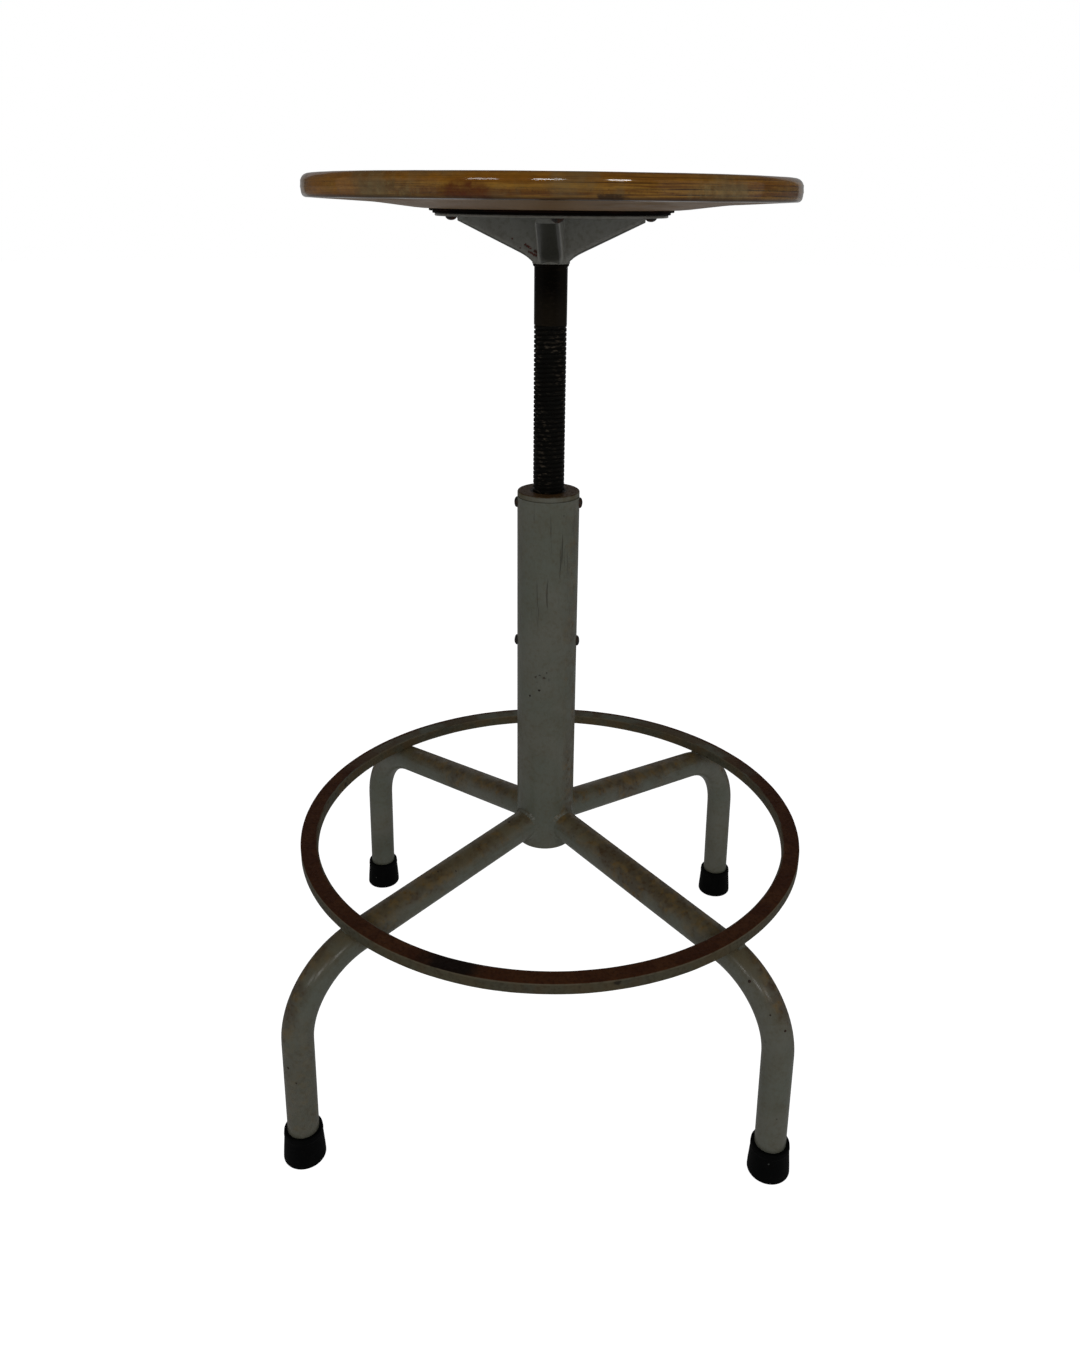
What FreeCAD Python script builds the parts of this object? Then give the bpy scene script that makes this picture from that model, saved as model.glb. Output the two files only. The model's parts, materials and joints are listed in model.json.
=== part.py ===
import FreeCAD, Part
import math
import os
from types import SimpleNamespace

import Sketcher
from FreeCAD import Placement, Rotation, Vector

# An adjustable swivel stool. A plywood seat stands on a steel screw that turns in a bush riveted into
# the column; four bent tube legs and a foot ring are welded to the column.
# Frame: millimetres, +Z up, origin on the floor under the screw's axis, -Y is the front.

DRIVING_DIMENSIONS = [
    # alias, value (mm, or degrees where said), meaning
    ("seat_height", 742.0, "top of the seat's rim above the floor, as stored"),
    ("seat_radius", 178.0, "seat board"),
    ("seat_thickness", 15.9, "seat board, the same all over"),
    ("seat_dish_depth", 6.6, "how far the middle lies below the rim"),
    ("seat_flat_radius", 93.0, "level middle of the dish"),
    ("seat_shoulder_radius", 128.0, "where the dish eases into the rim"),
    ("seat_shoulder_drop", 2.6, "height of the rim above the shoulder"),
    ("seat_bend_radius", 130.0, "rounding of the dish's two bends"),
    ("seat_top_rounding", 5.5, "upper edge of the rim"),
    ("seat_bottom_rounding", 3.2, "lower edge of the rim"),
    ("seat_turn", 4.6, "degrees that the seat stands turned, as stored"),
    ("pad_radius", 89.3, "thin fibre disc against the seat"),
    ("pad_thickness", 1.6, "thin fibre disc"),
    ("plate_radius", 86.8, "black steel disc"),
    ("plate_thickness", 1.6, "black steel disc"),
    ("flange_radius", 85.0, "bracket's welded disc"),
    ("flange_thickness", 1.9, "bracket's welded disc"),
    ("wood_screw_circle", 73.0, "radius of the circle of seat screws"),
    ("wood_screw_radius", 2.3, "shank of a seat screw"),
    ("wood_screw_grip", 10.5, "length of a seat screw inside the board"),
    ("wood_screw_head_radius", 4.4, "round head of a seat screw"),
    ("wood_screw_head_height", 3.1, "round head of a seat screw"),
    ("wood_screw_clearance", 2.7, "hole for a seat screw in the discs"),
    ("bracket_turn", -1.1, "degrees that the bracket's arms stand turned, as stored"),
    ("bracket_width", 19.6, "across a bracket arm"),
    ("bracket_sheet", 1.8, "sheet of a bracket arm"),
    ("bracket_reach", 68.2, "outer end of a bracket arm"),
    ("bracket_root", 18.2, "where the sloping web meets the weld at the hub"),
    ("bracket_root_height", 686.8, "lowest point of the sloping web"),
    ("bracket_root_rounding", 4.0, "bend of the web at the hub"),
    ("bracket_root_wall", 2.0, "web left upright at the hub"),
    ("bracket_tip_height", 711.0, "web at the outer end of the arm"),
    ("hub_radius", 14.0, "socket tube on top of the screw"),
    ("hub_bottom", 682.0, "lower end of the socket tube"),
    ("hub_weld_height", 2.6, "weld under the socket tube"),
    ("hub_weld_toe", 0.5, "weld at the outside of the socket tube"),
    ("neck_radius", 12.5, "plain neck of the screw"),
    ("neck_bottom", 638.0, "where the thread begins"),
    ("thread_radius", 12.4, "crest of the screw's thread"),
    ("thread_bottom", 342.8, "shoulder at the lower end of the thread"),
    ("spigot_radius", 8.0, "turned-down lower end of the screw"),
    ("screw_end", 322.0, "lower end of the screw"),
    ("screw_chamfer", 1.0, "lower edge of the screw"),
    ("bush_bore", 12.5, "bore of both bushes, 0.1 clear of the thread's crest"),
    ("bush_radius", 22.5, "outside of both bushes, inside of the column"),
    ("bush_bottom", 470.0, "lower end of the threaded bush"),
    ("collar_height", 4.5, "collar of the threaded bush, on top of the column"),
    ("collar_rounding", 1.2, "upper edge of the collar"),
    ("guide_height", 20.0, "length of the guide bush"),
    ("guide_middle", 380.0, "height of the guide bush and its rivets"),
    ("column_radius", 25.0, "outside of the column tube"),
    ("column_top", 505.5, "upper end of the column tube"),
    ("column_bottom", 189.0, "lower end of the column tube"),
    ("upper_rivet_height", 499.8, "rivets of the threaded bush"),
    ("rivet_radius", 2.5, "rivet shank"),
    ("rivet_tip", 17.0, "how near the axis a rivet reaches"),
    ("rivet_head_radius", 4.4, "rivet head"),
    ("rivet_head_height", 2.5, "rivet head"),
    ("head_rim", 0.3, "upright rim of a rounded rivet or screw head"),
    ("washer_radius", 20.0, "stop washer"),
    ("washer_bore", 8.3, "stop washer"),
    ("washer_thickness", 4.0, "stop washer"),
    ("washer_play", 0.3, "play above and below the stop washer"),
    ("nut_across_flats", 24.0, "stop nut"),
    ("nut_height", 8.0, "stop nut"),
    ("pin_radius", 1.5, "split pin under the stop nut"),
    ("pin_length", 30.0, "split pin under the stop nut"),
    ("pin_height", 326.6, "split pin under the stop nut"),
    ("tube_radius", 12.5, "leg tube"),
    ("tube_wall", 2.0, "leg tube"),
    ("arm_root_height", 213.3, "leg tube's middle line, continued to the axis"),
    ("arm_slope", 8.5, "degrees that the arm falls outwards"),
    ("bend_radius", 70.0, "middle line of the bend"),
    ("leg_lean", 1.5, "degrees that the leg leans outwards"),
    ("foot_spread", 266.0, "middle of a foot from the axis"),
    ("leg_end", 7.5, "lower end of the leg tube"),
    ("weld_throat", 2.4, "fillet weld between arm and column"),
    ("ring_outside", 221.8, "foot ring"),
    ("ring_inside", 206.6, "foot ring"),
    ("ring_bottom", 194.6, "foot ring"),
    ("ring_bar_height", 10.0, "foot ring"),
    ("ring_edge", 0.8, "softened edges of the ring's flat bar"),
    ("ring_weld_width", 15.0, "weld between ring and arm"),
    ("ring_shift_right", 4.6, "how far the ring is welded off the axis, towards +X"),
    ("ring_shift_back", 3.0, "how far the ring is welded off the axis, towards +Y"),
    ("foot_radius", 17.2, "rubber foot on the floor"),
    ("foot_lip_radius", 14.7, "rubber foot at its upper edge"),
    ("foot_height", 29.0, "rubber foot"),
    ("foot_rounding", 1.5, "lower edge of a rubber foot"),
    ("foot_washer_thickness", 1.5, "steel washer inside a rubber foot"),
    ("foot_washer_radius", 11.8, "steel washer inside a rubber foot"),
]

SIDES = {"front": -90, "right": 0, "rear": 90, "left": 180}
CORNERS = {"front_left": 225, "front_right": 315, "rear_right": 45, "rear_left": 135}
BEYOND = 40  # how far a cutting tool runs past what it cuts
OVERRUN = 1  # how far outside a face a cut starts where there is little room
OPPOSITE = 2  # copies on both sides of the axis
QUARTERS = 4  # copies a quarter turn apart

doc = FreeCAD.newDocument("swivel_stool")
sheet = doc.addObject("Spreadsheet::Sheet", "dims")


class Size:
    """A number together with the sheet expression that drives it."""

    def __init__(self, value, text=None):
        self.value = value
        self.text = text or repr(value)

    def _with(self, other, sign, result):
        return Size(result, f"({self.text} {sign} {as_size(other).text})")

    def __add__(self, other):
        return self._with(other, "+", self.value + as_size(other).value)

    def __sub__(self, other):
        return self._with(other, "-", self.value - as_size(other).value)

    def __mul__(self, other):
        return self._with(other, "*", self.value * as_size(other).value)

    def __truediv__(self, other):
        return self._with(other, "/", self.value / as_size(other).value)


def as_size(number):
    return number if isinstance(number, Size) else Size(number)


def tangent(angle):
    return Size(math.tan(math.radians(angle.value)), f"tan({angle.text} * 1 deg)")


def upright(thickness, slope):
    """A sloping sheet's thickness measured straight up."""
    stretch = math.hypot(1, slope.value)
    return thickness * Size(stretch, f"sqrt(1 + ({slope.text}) ^ 2)")


def turned(right, back, azimuth):
    """A shift towards +X and +Y, as seen in a body that is turned by azimuth."""
    cosine, sine = math.cos(math.radians(azimuth)), math.sin(math.radians(azimuth))
    return right * cosine + back * sine, back * cosine - right * sine


def fill_sheet():
    sizes = SimpleNamespace()
    for row, (alias, value, meaning) in enumerate(DRIVING_DIMENSIONS, start=1):
        sheet.set(f"A{row}", meaning)
        sheet.set(f"B{row}", str(value))
        sheet.setAlias(f"B{row}", alias)
        setattr(sizes, alias, Size(value, f"dims.{alias}"))
    doc.recompute()
    return sizes


def bind(item, prop, number):
    """Drive one property, or one constraint, from the sheet."""
    item.setExpression(prop, as_size(number).text)


def new_body(name, azimuth=0):
    body = doc.addObject("PartDesign::Body", name)
    body.Label = name
    body.AllowCompound = True
    body.Placement = Placement(Vector(0, 0, 0), Rotation(Vector(0, 0, 1), azimuth))
    return body


def datum(body, role):
    return next(item for item in body.Origin.OriginFeatures if item.Role == role)


def attach(item, body, role, offset):
    """Attach to an origin plane, moved by offset along the plane's own x, y and normal."""
    item.AttachmentSupport = [(datum(body, role), "")]
    item.MapMode = "FlatFace"
    for axis, amount in zip("xyz", offset):
        if as_size(amount).value:
            bind(item, f"AttachmentOffset.Base.{axis}", amount)


def new_sketch(body, role, offset=(0, 0, 0)):
    sketch = body.newObject("Sketcher::SketchObject", f"{body.Name}_sketch")
    attach(sketch, body, role, offset)
    return sketch


def constrain(sketch, number, *constraint):
    """Add a dimension and drive it from the sheet."""
    index = sketch.addConstraint(Sketcher.Constraint(*constraint, as_size(number).value))
    sketch.renameConstraint(index, f"size_{index}")
    bind(sketch, f"Constraints.size_{index}", number)


def place_point(sketch, geometry, end, across, up):
    """Fix a point's two distances from the sketch's origin."""
    for number, kind, axis in ((across, "DistanceX", -2), (up, "DistanceY", -1)):
        if as_size(number).value:
            constrain(sketch, number, kind, -1, 1, geometry, end)
        else:
            sketch.addConstraint(Sketcher.Constraint("PointOnObject", geometry, end, axis))


def tangent_arc(corner, before, after, radius):
    """The arc that rounds a corner, and which of its ends comes first along the outline."""
    into = (corner - before).normalize()
    out = (after - corner).normalize()
    left_turn = into.cross(out).z > 0
    trim = radius * math.tan(into.getAngle(out) / 2)
    start, finish = corner - into * trim, corner + out * trim
    side = Vector(-into.y, into.x, 0) if left_turn else Vector(into.y, -into.x, 0)
    centre = start + side * radius
    angles = [math.atan2(point.y - centre.y, point.x - centre.x) for point in (start, finish)]
    if not left_turn:
        angles.reverse()
    circle = Part.Circle(centre, Vector(0, 0, 1), radius)
    return Part.ArcOfCircle(circle, *angles), start, finish, (1, 2) if left_turn else (2, 1)


def draw_path(sketch, corners, closed):
    """Straight lines through corners (across, up[, rounding]), with every size driven."""
    points = [Vector(as_size(c[0]).value, as_size(c[1]).value, 0) for c in corners]
    count = len(points)
    last = count if closed else count - 1
    starts, ends, arcs = list(points), list(points), {}
    for i, corner in enumerate(corners):
        if len(corner) == 3:
            radius = as_size(corner[2]).value
            arcs[i] = tangent_arc(points[i], points[i - 1], points[(i + 1) % count], radius)
            ends[i], starts[i] = arcs[i][1], arcs[i][2]
    lines = [
        sketch.addGeometry(Part.LineSegment(starts[i], ends[(i + 1) % count])) for i in range(last)
    ]
    for i, corner in enumerate(corners):
        first = i == 0 and not closed
        final = i == count - 1 and not closed
        if i in arcs:
            arc = sketch.addGeometry(arcs[i][0])
            near, far = arcs[i][3]
            sketch.addConstraint(Sketcher.Constraint("Tangent", lines[i - 1], 2, arc, near))
            sketch.addConstraint(Sketcher.Constraint("Tangent", lines[i], 1, arc, far))
            constrain(sketch, corner[2], "Radius", arc)
            mark = sketch.addGeometry(Part.Point(points[i]), True)
            for line in (lines[i - 1], lines[i]):
                sketch.addConstraint(Sketcher.Constraint("PointOnObject", mark, 1, line))
            place_point(sketch, mark, 1, corner[0], corner[1])
        elif final:
            place_point(sketch, lines[i - 1], 2, corner[0], corner[1])
        else:
            if not first:
                joint = Sketcher.Constraint("Coincident", lines[i - 1], 2, lines[i], 1)
                sketch.addConstraint(joint)
            place_point(sketch, lines[i], 1, corner[0], corner[1])


def draw_circle(sketch, across, up, radius):
    centre = Vector(as_size(across).value, as_size(up).value, 0)
    circle = sketch.addGeometry(Part.Circle(centre, Vector(0, 0, 1), as_size(radius).value))
    constrain(sketch, radius, "Radius", circle)
    place_point(sketch, circle, 3, across, up)


def turn(body, corners, kind="Revolution", axis="V_Axis", offset=(0, 0, 0)):
    """Turn an outline in the XZ plane about one axis of its sketch."""
    sketch = new_sketch(body, "XZ_Plane", offset)
    draw_path(sketch, corners, closed=True)
    feature = body.newObject(f"PartDesign::{kind}", f"{body.Name}_{kind.lower()}")
    feature.Profile = sketch
    feature.ReferenceAxis = (sketch, [axis])
    feature.Angle = 360
    return feature


def extrude(body, sketch, length, kind="Pad", symmetric=False):
    feature = body.newObject(f"PartDesign::{kind}", f"{body.Name}_{kind.lower()}")
    feature.Profile = sketch
    bind(feature, "Length", length)
    if symmetric:
        feature.SideType = "Symmetric"
    return feature


def drill(body, role, offset, radius, depth):
    """Cut a round hole that starts at offset and runs along the plane's normal."""
    hole = body.newObject("PartDesign::SubtractiveCylinder", f"{body.Name}_hole")
    attach(hole, body, role, offset)
    bind(hole, "Radius", radius)
    bind(hole, "Height", depth)
    return hole


def around(body, feature, count):
    """Repeat a feature around the Z axis."""
    pattern = body.newObject("PartDesign::PolarPattern", f"{body.Name}_pattern")
    pattern.Originals = [feature]
    pattern.Axis = (datum(body, "Z_Axis"), [""])
    pattern.Angle = 360
    pattern.Occurrences = count
    body.Tip = pattern
    return pattern


def draw_leg_line(body):
    """Middle line of a leg: up from the foot, round the bend and in to the column."""
    foot = (S.foot_spread - S.leg_end * tangent(S.leg_lean), S.leg_end)
    lean, fall = tangent(S.leg_lean), tangent(S.arm_slope)
    # the straight arm and the straight leg, both continued, meet at the knee
    knee_height = (S.arm_root_height - S.foot_spread * fall) / (Size(1) - lean * fall)
    knee = (S.foot_spread - knee_height * lean, knee_height, S.bend_radius)
    root = (S.bush_radius, S.arm_root_height - S.bush_radius * fall)
    path = new_sketch(body, "XZ_Plane")
    draw_path(path, [foot, knee, root], closed=False)
    return path


def pipe(body, path, radius, kind="Additive"):
    """Sweep a circle along a leg's middle line; it starts level, across the foot end of the line."""
    section = new_sketch(body, "XY_Plane", (0, 0, S.leg_end))
    draw_circle(section, S.foot_spread - S.leg_end * tangent(S.leg_lean), 0, radius)
    feature = body.newObject(f"PartDesign::{kind}Pipe", f"{body.Name}_pipe")
    feature.Profile = section
    feature.Spine = (path, ["Edge1", "Edge2", "Edge3"])
    return feature


def make_column():
    body = new_body("column_tube")
    turn(
        body,
        [
            (S.bush_radius, S.column_bottom),
            (S.column_radius, S.column_bottom),
            (S.column_radius, S.column_top),
            (S.bush_radius, S.column_top),
        ],
    )
    for height in (S.upper_rivet_height, S.guide_middle):
        offset = (0, height, S.bush_radius - OVERRUN)
        around(body, drill(body, "YZ_Plane", offset, S.rivet_radius, BEYOND), OPPOSITE)


def drill_rivet_holes(body, height):
    offset = (0, height, S.rivet_tip)
    around(body, drill(body, "YZ_Plane", offset, S.rivet_radius, BEYOND), OPPOSITE)


def make_threaded_bush():
    """Its thread is held as a plain bore at the crest of the screw's thread."""
    body = new_body("threaded_bush")
    collar_top = S.column_top + S.collar_height
    turn(
        body,
        [
            (S.bush_bore, S.bush_bottom),
            (S.bush_radius, S.bush_bottom),
            (S.bush_radius, S.column_top),
            (S.column_radius, S.column_top),
            (S.column_radius, collar_top, S.collar_rounding),
            (S.bush_bore, collar_top),
        ],
    )
    drill_rivet_holes(body, S.upper_rivet_height)


def make_guide_bush():
    body = new_body("guide_bush")
    bottom = S.guide_middle - S.guide_height / 2
    top = S.guide_middle + S.guide_height / 2
    turn(
        body,
        [(S.bush_bore, bottom), (S.bush_radius, bottom), (S.bush_radius, top), (S.bush_bore, top)],
    )
    drill_rivet_holes(body, S.guide_middle)


def make_rivets(name, height):
    """Two round-headed rivets, one from each side of the column."""
    body = new_body(name)
    head_end = S.column_radius + S.rivet_head_height
    rivet = turn(
        body,
        [
            (S.rivet_tip, 0),
            (head_end, 0),
            (head_end, S.rivet_head_radius, S.rivet_head_height - S.head_rim),
            (S.column_radius, S.rivet_head_radius),
            (S.column_radius, S.rivet_radius),
            (S.rivet_tip, S.rivet_radius),
        ],
        axis="H_Axis",
        offset=(0, height, 0),
    )
    around(body, rivet, OPPOSITE)


def make_leg(name, azimuth):
    body = new_body(name, azimuth)
    path = draw_leg_line(body)
    pipe(body, path, S.tube_radius)
    pipe(body, path, S.tube_radius - S.tube_wall, kind="Subtractive")
    drill(body, "XY_Plane", (0, 0, 0), S.column_radius, S.arm_root_height + BEYOND)


def make_column_welds():
    """A fillet weld round the root of every arm."""
    body = new_body("column_welds", CORNERS["rear_right"])
    path = draw_leg_line(body)
    pipe(body, path, S.tube_radius + S.weld_throat)
    pipe(body, path, S.tube_radius, kind="Subtractive")
    drill(body, "XY_Plane", (0, 0, 0), S.column_radius, S.arm_root_height + BEYOND)
    weld_edge = S.column_radius + S.weld_throat
    above = S.arm_root_height + BEYOND
    trim = turn(
        body,
        [
            (weld_edge, 0),
            (S.foot_spread + BEYOND, 0),
            (S.foot_spread + BEYOND, above),
            (weld_edge, above),
        ],
        kind="Groove",
    )
    copy_around(body, trim)


def copy_around(body, tip):
    """Repeat everything made so far in a body at each quarter turn."""
    pattern = body.newObject("PartDesign::PolarPattern", f"{body.Name}_pattern")
    pattern.TransformMode = "Whole shape"
    pattern.Originals = []
    pattern.BaseFeature = tip
    pattern.Axis = (datum(body, "Z_Axis"), [""])
    pattern.Angle = 360
    pattern.Occurrences = QUARTERS
    body.Tip = pattern


def make_foot_ring():
    """A flat bar bent into a ring, a little off the axis and let down over the arms."""
    azimuth = CORNERS["rear_right"]
    body = new_body("foot_ring", azimuth)
    along, across = turned(S.ring_shift_right, S.ring_shift_back, azimuth)
    top = S.ring_bottom + S.ring_bar_height
    turn(
        body,
        [
            (S.ring_inside, S.ring_bottom, S.ring_edge),
            (S.ring_outside, S.ring_bottom, S.ring_edge),
            (S.ring_outside, top, S.ring_edge),
            (S.ring_inside, top, S.ring_edge),
        ],
        offset=(along, 0, across / -1),
    )
    saddle = pipe(body, draw_leg_line(body), S.tube_radius, kind="Subtractive")
    around(body, saddle, QUARTERS)


def make_ring_weld(name, azimuth):
    """Weld metal between the underside of the ring and the top of one arm."""
    body = new_body(name, azimuth)
    base = S.ring_bottom - S.tube_radius
    along, across = turned(S.ring_shift_right, S.ring_shift_back, azimuth)
    band = new_sketch(body, "XY_Plane", (along, across, base))
    draw_circle(band, 0, 0, S.ring_outside - S.ring_edge)
    draw_circle(band, 0, 0, S.ring_inside + S.ring_edge)
    extrude(body, band, S.tube_radius)
    waste = new_sketch(body, "XY_Plane", (0, 0, base))
    near, far, back = S.ring_weld_width / 2, S.ring_outside + BEYOND, S.ring_outside / -1 - BEYOND
    draw_path(
        waste,
        [
            (0, near / -1),
            (far, near / -1),
            (far, back),
            (back, back),
            (back, far),
            (far, far),
            (far, near),
            (0, near),
        ],
        closed=True,
    )
    extrude(body, waste, S.tube_radius * 2 + OVERRUN, kind="Pocket", symmetric=True)
    pipe(body, draw_leg_line(body), S.tube_radius, kind="Subtractive")


def make_rubber_foot(name, azimuth):
    body = new_body(name, azimuth)
    turn(
        body,
        [
            (0, 0),
            (S.foot_radius, 0, S.foot_rounding),
            (S.foot_lip_radius, S.foot_height, S.foot_rounding / 2),
            (0, S.foot_height),
        ],
        offset=(S.foot_spread - S.foot_height / 2 * tangent(S.leg_lean), 0, 0),
    )
    pipe(body, draw_leg_line(body), S.tube_radius, kind="Subtractive")
    washer_seat = (S.foot_spread, 0, S.leg_end - S.foot_washer_thickness)
    drill(body, "XY_Plane", washer_seat, S.foot_washer_radius, S.foot_washer_thickness)


def make_foot_washers():
    """A steel disc between the end of every leg tube and the rubber."""
    body = new_body("foot_washers", CORNERS["rear_right"])
    bottom = S.leg_end - S.foot_washer_thickness
    washer = turn(
        body,
        [
            (0, bottom),
            (S.foot_washer_radius, bottom),
            (S.foot_washer_radius, S.leg_end),
            (0, S.leg_end),
        ],
        offset=(S.foot_spread, 0, 0),
    )
    around(body, washer, QUARTERS)


def make_stop_washer():
    body = new_body("stop_washer")
    top = S.thread_bottom - S.washer_play
    bottom = top - S.washer_thickness
    turn(
        body,
        [
            (S.washer_bore, bottom),
            (S.washer_radius, bottom, S.ring_edge),
            (S.washer_radius, top, S.ring_edge),
            (S.washer_bore, top),
        ],
    )


def stop_nut_top():
    return S.thread_bottom - S.washer_play * 2 - S.washer_thickness


def make_stop_nut():
    body = new_body("stop_nut", S.seat_turn.value)
    bottom = stop_nut_top() - S.nut_height
    prism = body.newObject("PartDesign::AdditivePrism", "stop_nut_prism")
    attach(prism, body, "XY_Plane", (0, 0, bottom))
    prism.Polygon = 6
    bind(prism, "Circumradius", S.nut_across_flats / Size(math.sqrt(3)))
    bind(prism, "Height", S.nut_height)
    drill(body, "XY_Plane", (0, 0, bottom), S.spigot_radius, S.nut_height)


def make_split_pin():
    body = new_body("split_pin", S.seat_turn.value)
    half = S.pin_length / 2
    turn(
        body,
        [
            (half / -1, 0),
            (half, 0),
            (half, S.pin_radius, S.pin_radius / 2),
            (half / -1, S.pin_radius, S.pin_radius / 2),
        ],
        axis="H_Axis",
        offset=(0, S.pin_height, 0),
    )


def make_screw():
    """The thread is held as a plain stretch at its crest radius."""
    body = new_body("screw_spindle", S.seat_turn.value)
    turn(
        body,
        [
            (0, S.screw_end),
            (S.spigot_radius - S.screw_chamfer, S.screw_end),
            (S.spigot_radius, S.screw_end + S.screw_chamfer),
            (S.spigot_radius, S.thread_bottom),
            (S.thread_radius, S.thread_bottom),
            (S.thread_radius, S.neck_bottom),
            (S.neck_radius, S.neck_bottom),
            (S.neck_radius, flange_bottom()),
            (0, flange_bottom()),
        ],
    )
    offset = (0, S.pin_height, S.spigot_radius / -1 - OVERRUN)
    drill(body, "YZ_Plane", offset, S.pin_radius, S.spigot_radius * 2 + OVERRUN * 2)


def seat_bottom():
    """Underside of the board in the middle of the dish."""
    return S.seat_height - S.seat_thickness - S.seat_dish_depth


def plate_top():
    return seat_bottom() - S.pad_thickness


def flange_top():
    return plate_top() - S.plate_thickness


def flange_bottom():
    return flange_top() - S.flange_thickness


def make_hub():
    body = new_body("hub_socket", S.seat_turn.value)
    turn(
        body,
        [
            (S.neck_radius, S.hub_bottom),
            (S.hub_radius, S.hub_bottom),
            (S.hub_radius, flange_bottom()),
            (S.neck_radius, flange_bottom()),
        ],
    )


def make_hub_weld():
    """Weld between the screw's neck and the lower end of the socket tube."""
    body = new_body("hub_weld", S.seat_turn.value)
    turn(
        body,
        [
            (S.neck_radius, S.hub_bottom - S.hub_weld_height),
            (S.hub_radius, S.hub_bottom - S.hub_weld_toe),
            (S.hub_radius, S.hub_bottom),
            (S.neck_radius, S.hub_bottom),
        ],
    )


def make_bracket_arm(name, azimuth):
    """A channel folded from sheet, open at the top, whose web slopes down to the hub."""
    body = new_body(name, azimuth + S.bracket_turn.value)
    slope = (S.bracket_tip_height - S.bracket_root_height) / (S.bracket_reach - S.bracket_root)
    top = flange_bottom()
    side = new_sketch(body, "XZ_Plane")
    draw_path(
        side,
        [
            (S.hub_radius / 2, top),
            (S.hub_radius / 2, S.hub_bottom),
            (S.hub_radius, S.hub_bottom),
            (S.bracket_root, S.bracket_root_height, S.bracket_root_rounding),
            (S.bracket_reach, S.bracket_tip_height),
            (S.bracket_reach, top),
        ],
        closed=True,
    )
    extrude(body, side, S.bracket_width, symmetric=True)
    hollow = new_sketch(body, "XZ_Plane")
    web = upright(S.bracket_sheet, slope)
    start, end = S.bracket_root + S.bracket_root_wall, S.bracket_reach + OVERRUN
    draw_path(
        hollow,
        [
            (start, top),
            (start, S.bracket_root_height + slope * S.bracket_root_wall + web),
            (end, S.bracket_tip_height + slope * OVERRUN + web),
            (end, top),
        ],
        closed=True,
    )
    inside_width = S.bracket_width - S.bracket_sheet * 2
    extrude(body, hollow, inside_width, kind="Pocket", symmetric=True)
    drill(body, "XY_Plane", (0, 0, S.hub_bottom - OVERRUN), S.hub_radius, BEYOND)


def make_disc(name, radius, bottom, thickness):
    """A round sheet with clearance holes for the seat screws."""
    body = new_body(name, S.seat_turn.value)
    disc = new_sketch(body, "XY_Plane", (0, 0, bottom))
    draw_circle(disc, 0, 0, radius)
    extrude(body, disc, thickness)
    place = (S.wood_screw_circle, 0, bottom)
    around(body, drill(body, "XY_Plane", place, S.wood_screw_clearance, thickness), QUARTERS)


def make_seat_screws():
    """Round-head wood screws, up through the three discs into the board."""
    body = new_body("seat_screws", S.seat_turn.value)
    head_top = flange_bottom()
    head_bottom = head_top - S.wood_screw_head_height
    tip = seat_bottom() + S.wood_screw_grip
    screw = turn(
        body,
        [
            (0, head_bottom),
            (S.wood_screw_head_radius, head_bottom, S.wood_screw_head_height - S.head_rim),
            (S.wood_screw_head_radius, head_top),
            (S.wood_screw_radius, head_top),
            (S.wood_screw_radius, tip - S.wood_screw_radius),
            (0, tip),
        ],
        offset=(S.wood_screw_circle, 0, 0),
    )
    around(body, screw, QUARTERS)


def make_seat():
    """Moulded plywood: a level middle, a shallow slope and a nearly level rim."""
    body = new_body("seat_board", S.seat_turn.value)
    rim_bottom = S.seat_height - S.seat_thickness
    shoulder = rim_bottom - S.seat_shoulder_drop
    turn(
        body,
        [
            (0, seat_bottom()),
            (S.seat_flat_radius, seat_bottom(), S.seat_bend_radius),
            (S.seat_shoulder_radius, shoulder, S.seat_bend_radius),
            (S.seat_radius, rim_bottom, S.seat_bottom_rounding),
            (S.seat_radius, S.seat_height, S.seat_top_rounding),
            (S.seat_shoulder_radius, shoulder + S.seat_thickness, S.seat_bend_radius),
            (S.seat_flat_radius, seat_bottom() + S.seat_thickness, S.seat_bend_radius),
            (0, seat_bottom() + S.seat_thickness),
        ],
    )
    mouth = seat_bottom() - OVERRUN
    tip = seat_bottom() + S.wood_screw_grip
    pilot = turn(
        body,
        [
            (0, mouth),
            (S.wood_screw_radius, mouth),
            (S.wood_screw_radius, tip - S.wood_screw_radius),
            (0, tip),
        ],
        kind="Groove",
        offset=(S.wood_screw_circle, 0, 0),
    )
    around(body, pilot, QUARTERS)


def check_document():
    """Stop if any object failed, or if any sub-part is missing, broken or not solid."""
    for item in doc.Objects:
        if "Invalid" in item.State or "Error" in item.State:
            raise RuntimeError(f"{item.Name} failed: {item.State}")
    for body in doc.findObjects("PartDesign::Body"):
        shape = body.Shape
        if shape.isNull() or not shape.isValid() or not shape.Solids:
            raise RuntimeError(f"{body.Label} has no valid solid")
        print(f"{body.Label}: {len(shape.Solids)} solid(s), {shape.Volume / 1000:.2f} cm3")


def write_parts():
    os.makedirs("parts", exist_ok=True)
    for body in doc.findObjects("PartDesign::Body"):
        body.Shape.exportStep(f"parts/{body.Label}.step")


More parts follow.
